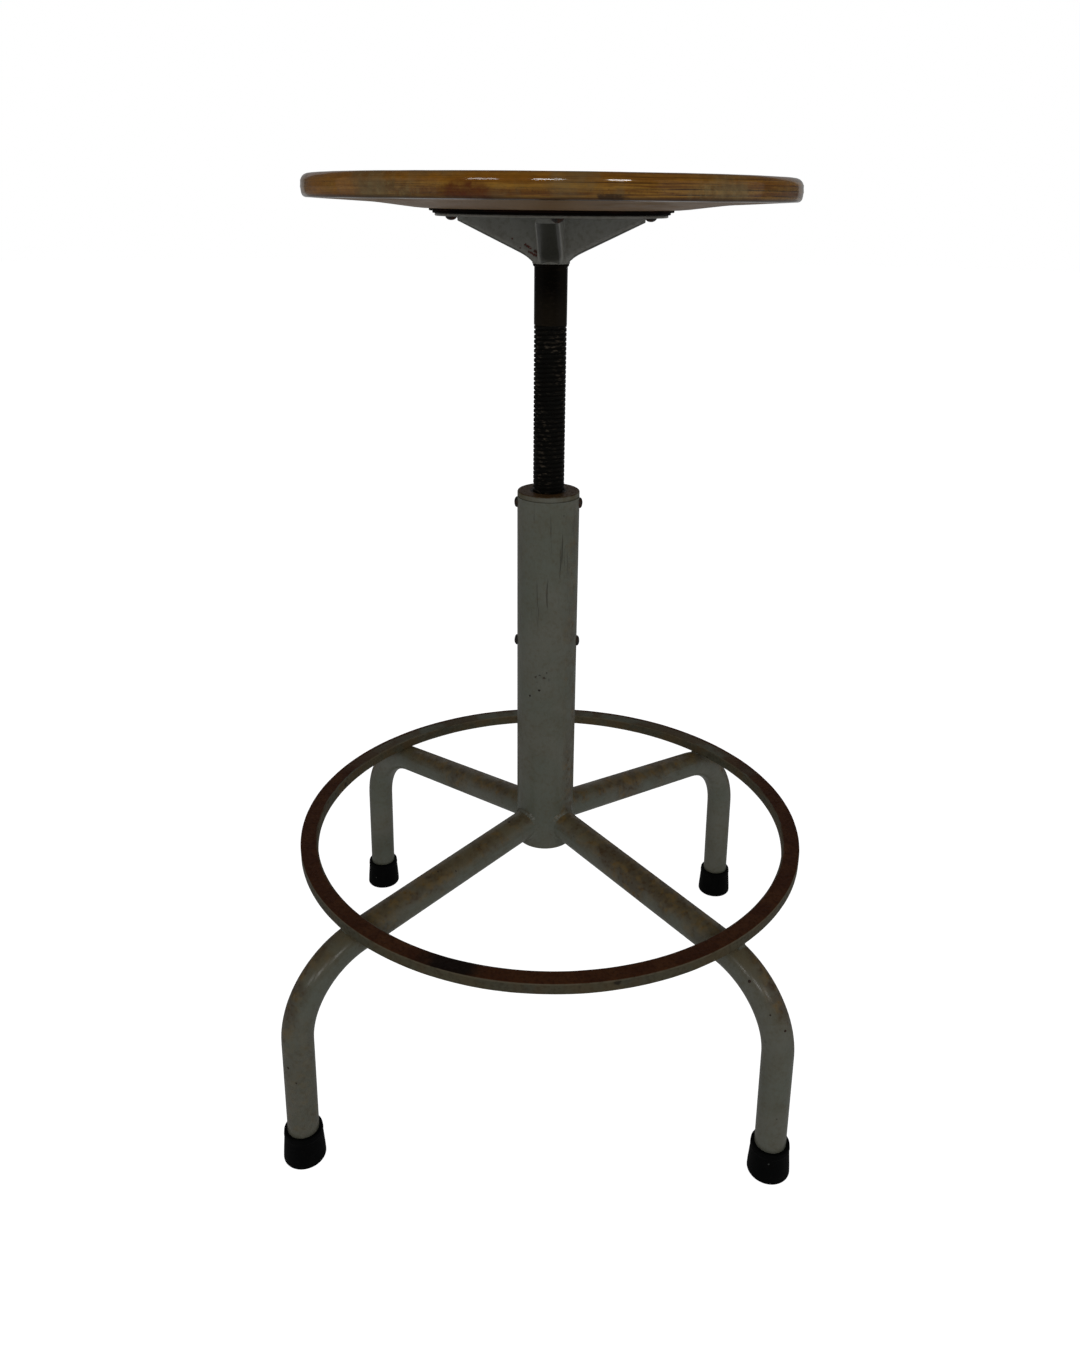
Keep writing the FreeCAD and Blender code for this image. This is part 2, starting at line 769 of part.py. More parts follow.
S = fill_sheet()
make_column()
make_threaded_bush()
make_guide_bush()
make_rivets("upper_rivets", S.upper_rivet_height)
make_rivets("lower_rivets", S.guide_middle)
for corner, azimuth in CORNERS.items():
    make_leg(f"leg_{corner}", azimuth)
    make_rubber_foot(f"rubber_foot_{corner}", azimuth)
    make_ring_weld(f"ring_weld_{corner}", azimuth)
make_foot_washers()
make_column_welds()
make_foot_ring()
make_stop_washer()
make_stop_nut()
make_split_pin()
make_screw()
make_hub()
make_hub_weld()
for side, azimuth in SIDES.items():
    make_bracket_arm(f"bracket_arm_{side}", azimuth)
make_disc("bracket_flange", S.flange_radius, flange_bottom(), S.flange_thickness)
make_disc("seat_plate", S.plate_radius, flange_top(), S.plate_thickness)
make_disc("seat_pad", S.pad_radius, plate_top(), S.pad_thickness)
make_seat_screws()
make_seat()
doc.recompute()
check_document()
write_parts()
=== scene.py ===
import functools
import json
import math

import bmesh
import bpy
from mathutils import Matrix, Vector, noise


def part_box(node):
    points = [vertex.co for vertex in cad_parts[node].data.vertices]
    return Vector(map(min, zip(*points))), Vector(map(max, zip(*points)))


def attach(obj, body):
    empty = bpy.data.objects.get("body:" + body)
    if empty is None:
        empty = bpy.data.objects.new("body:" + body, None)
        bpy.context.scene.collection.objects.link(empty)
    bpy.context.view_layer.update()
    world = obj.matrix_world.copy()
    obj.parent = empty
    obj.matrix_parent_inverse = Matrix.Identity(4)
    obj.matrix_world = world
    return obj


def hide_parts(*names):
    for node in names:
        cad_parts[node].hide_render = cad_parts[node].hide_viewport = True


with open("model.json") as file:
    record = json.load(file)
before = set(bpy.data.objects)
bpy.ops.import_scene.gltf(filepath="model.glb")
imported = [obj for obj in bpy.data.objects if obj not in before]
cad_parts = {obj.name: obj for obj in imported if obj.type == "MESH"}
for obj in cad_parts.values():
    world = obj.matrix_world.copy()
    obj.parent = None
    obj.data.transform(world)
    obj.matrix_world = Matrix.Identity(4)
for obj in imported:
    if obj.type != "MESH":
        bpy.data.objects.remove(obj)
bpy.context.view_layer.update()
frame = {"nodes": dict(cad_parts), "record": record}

# An adjustable swivel stool: plywood seat on a steel screw, painted tube base with a foot ring.
# Metres, +Z up, origin on the floor under the screw's axis, -Y is the front.

MM = 0.001
NODES = frame["nodes"]
BEHAVIOUR = frame["record"]["behaviour"]
BODY_OF = {node: body for body, nodes in BEHAVIOUR["bodies"].items() for node in nodes}
SLOT_OF = {part["node"]: part["material_slot"] for part in frame["record"]["subparts"]}
THREAD_PITCH = BEHAVIOUR["couplings"][0]["ratio"] * math.tau
CORNERS = {"front_left": 225, "front_right": 315, "rear_right": 45, "rear_left": 135}
SIDES = {"front": -90, "right": 0, "rear": 90, "left": 180}
SEAT_TURN = 4.6  # degrees that the seat and its screws stand turned, as stored
BRACKET_TURN = -1.1  # degrees that the bracket's arms stand turned, as stored


def low(node):
    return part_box(node)[0]


def high(node):
    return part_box(node)[1]


def half_width(node):
    """Radius of a round node that stands on the screw's axis."""
    return (high(node).y - low(node).y) / 2


def polar(radius, azimuth, height=0.0):
    """A point by its distance from the axis, its compass angle in degrees and its height."""
    angle = math.radians(azimuth)
    return Vector((radius * math.cos(angle), radius * math.sin(angle), height))


# ---- mesh building


def rounded(corners, arc_step=math.radians(15)):
    """A closed outline through corners (across, up, rounding), each rounding drawn as an arc."""
    points = []
    for i, (across, up, radius) in enumerate(corners):
        corner = Vector((across, up))
        into = (corner - Vector(corners[i - 1][:2])).normalized()
        out = (Vector(corners[(i + 1) % len(corners)][:2]) - corner).normalized()
        bend = into.angle(out)
        if not radius or bend < 1e-4:
            points.append(corner)
            continue
        left_turn = 1 if into.cross(out) > 0 else -1
        start = corner - into * radius * math.tan(bend / 2)
        centre = start + Vector((-into.y, into.x)) * radius * left_turn
        steps = max(2, math.ceil(bend / arc_step))
        for step in range(steps + 1):
            turned = Matrix.Rotation(left_turn * bend * step / steps, 2) @ (start - centre)
            points.append(centre + turned)
    return points


def divided(outline, longest):
    """The same closed outline with points added on its long runs."""
    points = []
    for i, point in enumerate(outline):
        following = outline[(i + 1) % len(outline)]
        parts = max(1, math.ceil((following - point).length / longest))
        points += [point.lerp(following, part / parts) for part in range(parts)]
    return points


def section(inner, outer, bottom, top, edges):
    """A rectangle for lathe, with the rounding of each corner, from the inner bottom outwards."""
    corners = ((inner, bottom), (outer, bottom), (outer, top), (inner, top))
    return [(*corner, edge) for corner, edge in zip(corners, edges)]


def lathe(outline, segments=96, centre=(0, 0)):
    """Vertices and faces of a closed outline (radius, height) turned round an upright line."""
    vertices, rings = [], []
    for radius, height in outline:
        if radius < 1e-7:
            rings.append([len(vertices)] * segments)
            vertices.append((centre[0], centre[1], height))
            continue
        rings.append(range(len(vertices), len(vertices) + segments))
        for step in range(segments):
            angle = math.tau * step / segments
            x, y = math.cos(angle), math.sin(angle)
            vertices.append((centre[0] + radius * x, centre[1] + radius * y, height))
    faces = []
    for i, ring in enumerate(rings):
        after = rings[(i + 1) % len(rings)]
        for step in range(segments):
            following = (step + 1) % segments
            corners = [ring[step], ring[following], after[following], after[step]]
            distinct = list(dict.fromkeys(corners))
            if len(distinct) > 2:
                faces.append(distinct)
    return vertices, faces


def skin(stations, count, closed=True):
    """Faces between stations of count vertices each; closed joins the last one to the first."""
    faces = []
    for station in range(stations if closed else stations - 1):
        a, b = station * count, (station + 1) % stations * count
        for i in range(count):
            following = (i + 1) % count
            faces.append((a + i, b + i, b + following, a + following))
    return faces


def joined(*parts):
    """Several closed shells as one list of vertices and one of faces."""
    vertices, faces = [], []
    for part_vertices, part_faces in parts:
        faces += [[index + len(vertices) for index in face] for face in part_faces]
        vertices += part_vertices
    return vertices, faces


def uneven(point, scale, seed):
    """Smooth noise from -1 to 1 at a point; scale is its grain in metres."""
    return noise.noise(Vector(point) / scale + Vector((seed, seed * 1.7, seed * 2.3)))


def in_scene(name, data):
    """A new object for a mesh, a light or a camera."""
    item = bpy.data.objects.new(name, data)
    bpy.context.scene.collection.objects.link(item)
    return item


def new_piece(name, node, shape, finish, crease=40.0):
    """Make a mesh piece that stands for a CAD node and rides on its body."""
    mesh = bpy.data.meshes.new(name)
    mesh.from_pydata(shape[0], [], shape[1])
    tidy = bmesh.new()
    tidy.from_mesh(mesh)
    bmesh.ops.recalc_face_normals(tidy, faces=tidy.faces)
    tidy.to_mesh(mesh)
    tidy.free()
    mesh.shade_smooth()
    mesh.set_sharp_from_angle(angle=math.radians(crease))
    mesh.materials.append(finish)
    piece = in_scene(name, mesh)
    body, slot, replaced = BODY_OF[node], SLOT_OF[node], [node]
    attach(piece, body)
    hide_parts(*replaced)
    return piece


def wear(piece, amount, scale, seed=1.0):
    """Sink a piece's surface by up to amount, unevenly; nothing moves outwards."""
    mesh = piece.data
    moves = []
    for vertex in mesh.vertices:
        depth = (uneven(vertex.co, scale, seed) + uneven(vertex.co, scale / 3, seed) / 2) / 1.5
        moves.append(vertex.normal * amount * (depth - 1) / 2)
    for vertex, move in zip(mesh.vertices, moves):
        vertex.co += move


# ---- node materials


class Surface:
    """A Principled material, with short names for the nodes that feed it."""

    def __init__(self, name, specular=0.5, **constants):
        self.material = bpy.data.materials.new(name)
        self.material.use_nodes = True
        self.nodes = self.material.node_tree.nodes
        self.shader = self.nodes["Principled BSDF"]
        self.shader.inputs["Specular IOR Level"].default_value = specular
        for socket, value in constants.items():
            self.feed(self.shader.inputs[socket.replace("_", " ")], value)
        coordinates = self.nodes.new("ShaderNodeTexCoord")
        self.place = coordinates.outputs["Object"]
        self.facing = self.split(coordinates.outputs["Normal"])
        self.at = self.split(self.place)

    def feed(self, socket, value):
        if isinstance(value, bpy.types.NodeSocket):
            self.material.node_tree.links.new(value, socket)
        elif isinstance(value, tuple) and socket.type == "RGBA":
            socket.default_value = (*value, 1)
        else:
            socket.default_value = value

    def add(self, kind, inputs, output=0, **settings):
        node = self.nodes.new(kind)
        for name, value in settings.items():
            setattr(node, name, value)
        for name, value in inputs.items():
            self.feed(node.inputs[name], value)
        return node.outputs[output]

    def split(self, vector):
        """A vector's or colour's three parts."""
        node = self.nodes.new("ShaderNodeSeparateXYZ")
        self.feed(node.inputs[0], vector)
        return node.outputs

    def calc(self, operation, a, b=0.0, c=0.0):
        return self.add("ShaderNodeMath", {0: a, 1: b, 2: c}, operation=operation)

    def fold(self, operation, values):
        """One calculation carried along a list of values."""
        return functools.reduce(lambda a, b: self.calc(operation, a, b), values)

    def times(self, *factors):
        return self.fold("MULTIPLY", factors)

    def plus(self, *terms):
        return self.fold("ADD", terms)

    def most(self, *values):
        return self.fold("MAXIMUM", values)

    def inverse(self, value):
        return self.calc("SUBTRACT", 1.0, value)

    def rise(self, value, start, end):
        """0 before start and 1 after end, eased between; start may be above end."""
        inputs = {"Value": value, "From Min": start, "From Max": end}
        return self.add("ShaderNodeMapRange", inputs, interpolation_type="SMOOTHSTEP")

    def stretch(self, x, y, z, place=None):
        """Coordinates scaled by x, y, z, so that a pattern is drawn out along the small ones."""
        inputs = {0: place or self.place, 1: (x, y, z)}
        return self.add("ShaderNodeVectorMath", inputs, operation="MULTIPLY")

    def turned(self, angle):
        """Coordinates turned about the upright axis."""
        inputs = {"Vector": self.place, "Angle": angle}
        return self.add("ShaderNodeVectorRotate", inputs, rotation_type="Z_AXIS")

    def noise(self, size, seed=0.0, detail=4.0, rough=0.55, place=None, warp=0.0):
        """Cloudy noise about 0.5 whose largest features are about size metres across."""
        inputs = {"Scale": 1 / size, "Detail": detail, "Roughness": rough, "W": seed}
        inputs.update({"Vector": place or self.place, "Distortion": warp})
        return self.add("ShaderNodeTexNoise", inputs, noise_dimensions="4D")

    def cloud(self, start, end, *grain, **place):
        """Patches of noise: 0 where it is below start, 1 where it is above end."""
        return self.rise(self.noise(*grain, **place), start, end)

    def ragged(self, value, reach, *grain):
        """A value moved up and down by noise, so that a limit set on it has a ragged edge."""
        return self.plus(value, self.times(self.plus(self.noise(*grain), -0.5), reach))

    def spots(self, size, share, radius, seed):
        """Small ragged spots: one in some of the cells of a grid of cells about size across."""
        shake = self.add("ShaderNodeVectorMath", {0: self.place, 1: (seed, seed, seed)})
        cells = self.nodes.new("ShaderNodeTexVoronoi")
        self.feed(cells.inputs["Vector"], shake)
        cells.inputs["Scale"].default_value = 1 / size
        chosen = self.rise(self.split(cells.outputs["Color"])[0], 1 - share, 1.0 - share + 0.04)
        reach = self.ragged(cells.outputs["Distance"], radius / size, size / 5, seed, 3.0)
        return self.times(chosen, self.rise(reach, radius / size * 1.25, radius / size * 0.75))

    def near(self, point, radius, ragged=0.35, seed=3.0):
        """1 round a point, fading to 0 at about radius metres, with a ragged edge."""
        ends = {0: self.place, 1: tuple(point)}
        offset = self.add("ShaderNodeVectorMath", ends, operation="SUBTRACT")
        distance = self.add("ShaderNodeVectorMath", {0: offset}, "Value", operation="LENGTH")
        distance = self.ragged(distance, radius * ragged * 4, radius * 0.7, seed)
        return self.rise(distance, radius, radius * 0.4)

    def from_axis(self, centre=(0, 0)):
        """Distance from an upright line."""
        x, y = (self.plus(self.at[axis], -centre[axis]) for axis in (0, 1))
        return self.calc("SQRT", self.plus(self.times(x, x), self.times(y, y)))

    def mix(self, share, a, b):
        """A colour that goes from a to b."""
        node = self.nodes.new("ShaderNodeMix")
        node.data_type = "RGBA"
        for socket, value in ((node.inputs[0], share), (node.inputs[6], a), (node.inputs[7], b)):
            self.feed(socket, value)
        return node.outputs[2]

    def coat(self, under, over, *shares):
        """A colour laid over another, as thick as the product of the shares."""
        return self.mix(self.times(*shares), under, over)

    def blend(self, share, a, b):
        """A number that goes from a to b."""
        return self.calc("MULTIPLY_ADD", share, self.calc("SUBTRACT", b, a), a)

    def finish(self, colour, roughness, height, depth, **inputs):
        """Connect the results; height is from 0 to 1, and depth what it stands for in metres."""
        self.feed(self.shader.inputs["Base Color"], colour)
        self.feed(self.shader.inputs["Roughness"], roughness)
        bump = self.add("ShaderNodeBump", {"Height": height, "Distance": depth, "Strength": 1.0})
        self.feed(self.shader.inputs["Normal"], bump)
        for socket, value in inputs.items():
            self.feed(self.shader.inputs[socket.replace("_", " ")], value)
        return self.material


PAINT_GREY = (0.292, 0.292, 0.236)
PAINT_GREEN = (0.252, 0.27, 0.215)
PAINT_DIRTY = (0.2, 0.172, 0.104)
OCHRE = (0.34, 0.19, 0.034)
BROWN_RUST = (0.115, 0.064, 0.022)
DARK_RUST = (0.09, 0.036, 0.014)
BARE_DARK = (0.034, 0.024, 0.015)
RED_OXIDE = (0.21, 0.036, 0.018)
PAINT_PALE = (0.52, 0.52, 0.475)
OCHRE_DUST = (0.27, 0.205, 0.095)
DEEP_SHADE = (0.045, 0.046, 0.034)


def painted_steel(
    name, rust_share=None, stains=(), chips=None, grime=0.35, underside_painted_shade=0.0, dusty_top=0.0,
    paleness=0.0, chip_colour=BARE_DARK
):
    """Old grey-green enamel: dirt clouds, ochre and brown rust where asked, chips and fine pits;
    where asked, painted shade darkens the faces that look down.
    """
    s = Surface(name, 0.45)
    green = s.cloud(0.4, 0.62, 0.06, 1)
    fine = s.cloud(0.46, 0.68, 0.0035, 3, 5)
    cloud = s.cloud(0.42, 0.66, 0.02, 2, 6, 0.6)
    dirt = s.times(cloud, s.blend(fine, 0.6, 1.0), grime)
    share = rust_share(s) if rust_share else 0.0
    rust = s.times(s.cloud(0.38, 0.58, 0.013, 4, 6, 0.65), share)
    for point, radius, strength in stains:
        rust = s.most(rust, s.times(s.near(point, radius), strength))
    rust = s.times(rust, s.blend(fine, 0.6, 1.0))
    specks = s.times(s.spots(0.007, 0.22, 0.0008, 6), s.cloud(0.45, 0.6, 0.05, 11))
    cut = chips(s) if chips else 0.0
    marks = s.most(s.spots(0.022, 0.3, 0.0011, 5), s.times(specks, 0.8), cut)
    ochre = s.mix(s.cloud(0.43, 0.66, 0.008, 7), BROWN_RUST, OCHRE)
    colour = s.mix(green, PAINT_GREY, PAINT_GREEN)
    colour = s.mix(paleness, colour, PAINT_PALE)
    colour = s.mix(dirt, colour, PAINT_DIRTY)
    colour = s.coat(colour, PAINT_DIRTY, fine, 0.25)
    dust = s.blend(s.cloud(0.35, 0.6, 0.03, 14), 0.5, 1.0)
    settled = s.times(facing_up(s, 0.2, 0.9), dust, dusty_top)
    colour = s.mix(settled, colour, OCHRE_DUST)
    colour = s.coat(colour, ochre, rust, 0.9)
    colour = s.mix(marks, colour, s.mix(fine, chip_colour, DARK_RUST))
    # painted shade: faces that look down are darkened towards DEEP_SHADE
    if underside_painted_shade:
        underside = s.rise(s.facing[2], -0.5, -0.8)
        colour = s.coat(colour, DEEP_SHADE, underside, underside_painted_shade)
    roughness = s.plus(0.22, s.times(dirt, 0.1), s.times(rust, 0.25), s.times(marks, 0.3))
    height = s.plus(
        s.times(s.noise(0.0035, 8, 3), 0.35),
        s.times(s.noise(0.018, 9, 2), 0.9),
        s.times(rust, s.noise(0.0012, 10, 3), 0.9),
        s.times(marks, -1.6),
    )
    return s.finish(colour, roughness, height, 0.00018)


# ---- base


COLUMN_RADIUS = half_width("column_tube")
COLUMN_TOP = high("column_tube").z
TUBE_RADIUS = 12.5 * MM
ARM_SLOPE = math.radians(8.5)
ARM_ROOT_HEIGHT = 213.3 * MM  # an arm's middle line, continued to the axis
BEND_RADIUS = 70 * MM
LEG_LEAN = math.radians(1.5)
FOOT_SPREAD = 266 * MM
BEND_END = 88.5  # degrees from level where the bend passes into the leg


def facing_up(s, start=0.15, end=0.85):
    return s.rise(s.facing[2], start, end)


def leg_rust(s):
    """Rust lies on top of the arms and along the outer side of the bends, and fades downwards."""
    arms = s.times(facing_up(s, 0.05, 0.75), s.rise(s.at[2], 0.185, 0.2))
    outward = s.plus(s.calc("ABSOLUTE", s.facing[0]), s.times(s.facing[2], 0.45))
    bends = s.times(s.rise(outward, 0.78, 0.98), s.rise(s.at[2], 0.105, 0.15))
    return s.most(s.times(arms, 0.95), s.times(bends, 1.0))


def column_rust(s):
    """A brown run down the right-hand side, and ochre near the arms."""
    right_side = s.rise(s.at[0], 0.45 * COLUMN_RADIUS, 0.85 * COLUMN_RADIUS)
    lower_part = s.rise(s.at[2], 0.46, 0.35)
    streaks = s.noise(0.02, 11, place=s.stretch(1, 1, 0.18))
    return s.times(right_side, s.blend(lower_part, 0.45, 0.85), s.rise(streaks, 0.38, 0.6))


def column_marks(s):
    """Two deep pits and a few upright scratches in the column's paint."""
    places = (polar(COLUMN_RADIUS, -122, 0.3375), polar(COLUMN_RADIUS, -102.5, 0.344))
    pits = s.most(*(s.near(place, 1.4 * MM, 0.2) for place in places))
    scratch = s.noise(0.0018, 12, 2, place=s.stretch(1, 1, 0.05))
    region = s.near(polar(COLUMN_RADIUS, -92, 0.45), 0.065)
    red_place = polar(COLUMN_RADIUS, -95, 0.36)
    red = s.times(s.near(red_place, 0.016), s.cloud(0.6, 0.66, 0.003, 13))
    return s.most(pits, s.times(s.rise(scratch, 0.6, 0.68), region, 0.55), s.times(red, 0.7))


def leg_marks(s):
    """Pits and short scratches in the front legs' paint."""
    pits = (
        (leg_point(315, 36, -57), 1.7),
        (leg_point(315, 57, -49), 1.0),
        (leg_point(315, 68, -15), 1.4),
        (leg_point(225, BEND_END, 18, 17.4 * MM), 1.5),
        (leg_point(225, BEND_END, 46, 30.8 * MM), 1.0),
    )
    near = s.most(*(s.near(place, size * MM, 0.2) for place, size in pits))
    return s.rise(s.ragged(near, 1.2, 0.0015, 15, 3), 0.45, 0.6)


def paint_base():
    """Materials for the base's CAD nodes that keep their shape."""
    arm_stains = (  # azimuth, distance from the axis and size in mm, strength
        (315, 88, 26, 1.0), (315, 118, 30, 1.0), (315, 150, 26, 0.9), (315, 185, 24, 0.6),
        (225, 75, 18, 0.6), (225, 130, 24, 0.8), (225, 190, 30, 0.7), (135, 120, 30, 0.8),
        (45, 105, 32, 0.9), (45, 150, 26, 0.8),
    )
    bend_stains = (  # azimuth, degrees round the bend and round the tube, size in mm, strength
        (315, 28, 51, 17, 1.0), (315, 42, 48, 18, 1.0), (315, 55, 35, 18, 1.0),
        (225, 29, -48, 17, 1.0), (225, 43, -48, 19, 1.0), (225, 55, -37, 19, 1.0),
        (225, 66, -26, 17, 1.0), (225, 76, -11, 17, 0.8),
    )
    stains = [(leg_point(225, BEND_END, 37, 31 * MM), 90 * MM, 0.32)]
    for azimuth, reach, size, strength in arm_stains:
        stains.append((arm_point(azimuth, math.pi / 2, reach * MM), size * MM, strength))
    for azimuth, turn, around, size, strength in bend_stains:
        stains.append((leg_point(azimuth, turn, around), size * MM, strength))
    leg_paint = painted_steel("leg_paint", leg_rust, stains, leg_marks, grime=0.45, dusty_top=0.7)
    arm_root = [(polar(0.03, -45, 0.222), 0.012, 0.9)]
    column_paint = painted_steel("column_paint", column_rust, arm_root, column_marks)
    for corner in CORNERS:
        dress(f"leg_{corner}", leg_paint)
    dress("column_tube", column_paint)


def dress(node, finish):
    """Give a CAD node, whose shape stays as it is, a finish."""
    NODES[node].data.materials.clear()
    NODES[node].data.materials.append(finish)


def arm_point(azimuth, around, outside, tube_radius=TUBE_RADIUS):
    """Where a line along an arm, at an angle around it, meets a cylinder about the axis."""
    out, side = polar(1, azimuth), polar(1, azimuth + 90)
    along = out - Vector((0, 0, math.tan(ARM_SLOPE)))
    lift = out * math.sin(ARM_SLOPE) + Vector((0, 0, math.cos(ARM_SLOPE)))
    spoke = (side * math.cos(around) + lift * math.sin(around)) * tube_radius
    start = Vector((0, 0, ARM_ROOT_HEIGHT)) + spoke
    reach = math.sqrt(max(0.0, outside**2 - spoke.dot(side) ** 2)) - spoke.dot(out)
    return start + along * reach


def leg_point(azimuth, turn, around, below=0.0):
    """On a leg's skin, by degrees round its bend, degrees round its tube, metres below the bend."""
    fall, lean = math.tan(ARM_SLOPE), math.tan(LEG_LEAN)
    arm_height = ARM_ROOT_HEIGHT - BEND_RADIUS / math.cos(ARM_SLOPE)
    leg_reach = FOOT_SPREAD - BEND_RADIUS / math.cos(LEG_LEAN)
    centre_height = (arm_height - leg_reach * fall) / (1 - fall * lean)
    centre_reach = leg_reach - centre_height * lean
    turn, around = math.radians(turn), math.radians(around)
    radius = BEND_RADIUS + TUBE_RADIUS * math.cos(around)
    reach = centre_reach + radius * math.sin(turn) + below * math.sin(LEG_LEAN)
    height = centre_height + radius * math.cos(turn) - below * math.cos(LEG_LEAN)
    return polar(reach, azimuth, height) + polar(TUBE_RADIUS * math.sin(around), azimuth + 90)


def fillet(azimuth, seed):
    """A weld that fills the corner between an arm and the column, rippled along its length."""
    vertices, steps = [], 120
    for step in range(steps):
        turn = math.tau * step / steps
        heel = arm_point(azimuth, turn, COLUMN_RADIUS)
        ripple = 1 + 0.1 * math.sin(step * 1.57) + 0.25 * uneven(heel, 6 * MM, seed)
        leg = 2.3 * MM * min(1.25, ripple)
        on_arm = arm_point(azimuth, turn, COLUMN_RADIUS + leg)
        on_column = arm_point(azimuth, turn, COLUMN_RADIUS, TUBE_RADIUS + leg)
        face = (on_arm + on_column) / 2 + (on_arm + on_column - heel * 2) * 0.06
        inward = (heel * 2 - on_arm - on_column) * 0.25
        vertices += [on_arm + inward, on_arm, (on_arm + face) / 2, face]
        vertices += [(on_column + face) / 2, on_column, on_column + inward]
    return vertices, skin(steps, len(vertices) // steps)


def make_column_welds(finish):
    """A fillet round the root of every arm."""
    fillets = [fillet(azimuth, number + 1.0) for number, azimuth in enumerate(CORNERS.values())]
    new_piece("column_weld_fillets", "column_welds", joined(*fillets), finish, 60.0)


def bead(line, radius, seed):
    """A round weld bead along a closed line, which swells and shrinks in ripples."""
    ripple, sides = 3.2 * MM, 12
    vertices, travelled = [], 0.0
    for i, point in enumerate(line):
        travelled += (point - line[i - 1]).length if i else 0.0
        wave = 0.1 * math.sin(math.tau * travelled / ripple) + 0.14 * uneven(point, 7 * MM, seed)
        along = (line[(i + 1) % len(line)] - line[i - 1]).normalized()
        across = along.cross(Vector((0.13, 0.21, 0.97))).normalized()
        up = across.cross(along)
        for side in range(sides):
            angle = math.tau * side / sides
            spoke = across * math.cos(angle) + up * math.sin(angle)
            vertices.append(point + spoke * radius * (1 + wave))
    return vertices, skin(len(line), sides)


def make_ring_welds(finish):
    """The runs that hold the ring to each arm, drawn in to the arm and roughened."""
    for corner, azimuth in CORNERS.items():
        node = f"ring_weld_{corner}"
        stored = NODES[node].data
        across = polar(1, azimuth + 90)
        vertices = [vertex.co - across * 0.55 * vertex.co.dot(across) for vertex in stored.vertices]
        shape = (vertices, [tuple(face.vertices) for face in stored.polygons])
        run = new_piece(f"{node}_run", node, shape, finish)
        wear(run, 0.25 * MM, 5 * MM, azimuth / 30)


def ring_shape():
    """The foot ring's centre, inner radius and outer radius, from its design."""
    ring_low, ring_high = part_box("foot_ring")
    centre = (ring_low + ring_high) / 2
    middle = centre.xy
    spread = [(vertex.co.xy - middle).length for vertex in NODES["foot_ring"].data.vertices]
    return centre, min(spread), max(spread)


def ring_finish():
    """Flat bar: trodden to dark red-brown rust on top in front, still painted at the back."""
    s = Surface("ring_paint", 0.12)
    ring_top = high("foot_ring").z
    centre, inner, outer = ring_shape()
    radius = s.from_axis((centre.x, centre.y))
    top = s.rise(s.facing[2], 0.55, 0.85)
    fine = s.cloud(0.42, 0.68, 0.003, 3, 5)
    front = s.rise(s.ragged(s.at[1], 0.12, 0.04, 10), 0.16, 0.06)
    outer_edge = s.rise(s.ragged(radius, 4 * MM, 0.01, 1, 5), outer - 5.0 * MM, outer - 3.0 * MM)
    inner_edge = s.rise(s.ragged(radius, 3 * MM, 0.01, 1, 5), inner + 2.2 * MM, inner + 1.0 * MM)
    above = s.rise(s.at[2], ring_top - 1.8 * MM, ring_top - 1.2 * MM)
    below = s.rise(s.at[2], ring_top + 0.2 * MM, ring_top - 0.4 * MM)
    edge = s.times(above, below, s.cloud(0.34, 0.52, 0.01, 1, 5), s.inverse(top))
    inner_side = s.rise(radius, inner + 1.2 * MM, inner + 0.3 * MM)

    paint = s.mix(s.cloud(0.4, 0.6, 0.05, 4), (0.18, 0.158, 0.098), (0.155, 0.148, 0.104))
    paint = s.coat(paint, (0.085, 0.064, 0.035), fine, 0.5)
    blotch = s.times(s.cloud(0.42, 0.62, 0.02, 2, 5), s.blend(inner_side, 0.35, 0.7))
    paint = s.mix(blotch, paint, (0.2, 0.13, 0.06))
    paint = s.coat(paint, BARE_DARK, s.spots(0.016, 0.35, 0.003, 8), 0.8)
    reddish = s.cloud(0.38, 0.66, 0.016, 5, 5)
    rust = s.mix(reddish, (0.115, 0.036, 0.013), (0.165, 0.06, 0.02))
    rust = s.coat(rust, (0.05, 0.018, 0.01), fine, 0.45)
    black = s.near(centre + polar(outer - 6 * MM, 251, 5 * MM), 0.032, 0.3)
    rust = s.coat(rust, (0.012, 0.008, 0.006), black, 0.9)
    rusty = s.times(s.cloud(0.42, 0.58, 0.03, 6, 5), 0.7)
    rear_paint = s.mix(rusty, (0.25, 0.255, 0.195), (0.17, 0.098, 0.045))
    trodden = s.most(front, outer_edge)
    trodden = s.times(trodden, s.inverse(s.times(inner_edge, 0.85)))
    colour = s.mix(top, paint, s.mix(trodden, rear_paint, rust))
    colour = s.coat(colour, (0.3, 0.245, 0.16), edge, 0.6)
    colour = s.mix(s.spots(0.018, 0.3, 0.0014, 7), colour, BARE_DARK)
    roughness = s.plus(s.blend(top, 0.4, 0.55), s.times(fine, 0.15), s.times(edge, -0.12))
    pitting = s.times(s.noise(0.0022, 8), 0.7)
    height = s.plus(pitting, s.noise(0.02, 9, 2), s.times(fine, top, 0.5))
    return s.finish(colour, roughness, height, 0.0003)


def make_foot_ring(finish):
    """The flat bar, its edges rounded by wear and a little uneven where feet have knocked it."""
    centre, inner, outer = ring_shape()
    top = high("foot_ring").z
    edges = (1.0 * MM, 1.0 * MM, 1.5 * MM, 2.0 * MM)
    outline = rounded(section(inner, outer, top - 10 * MM, top, edges))
    shape = lathe(divided(outline, 3.5 * MM), 420, centre.xy)
    ring = new_piece("foot_ring_bar", "foot_ring", shape, finish, 60.0)
    wear(ring, 0.3 * MM, 28 * MM, 2.0)


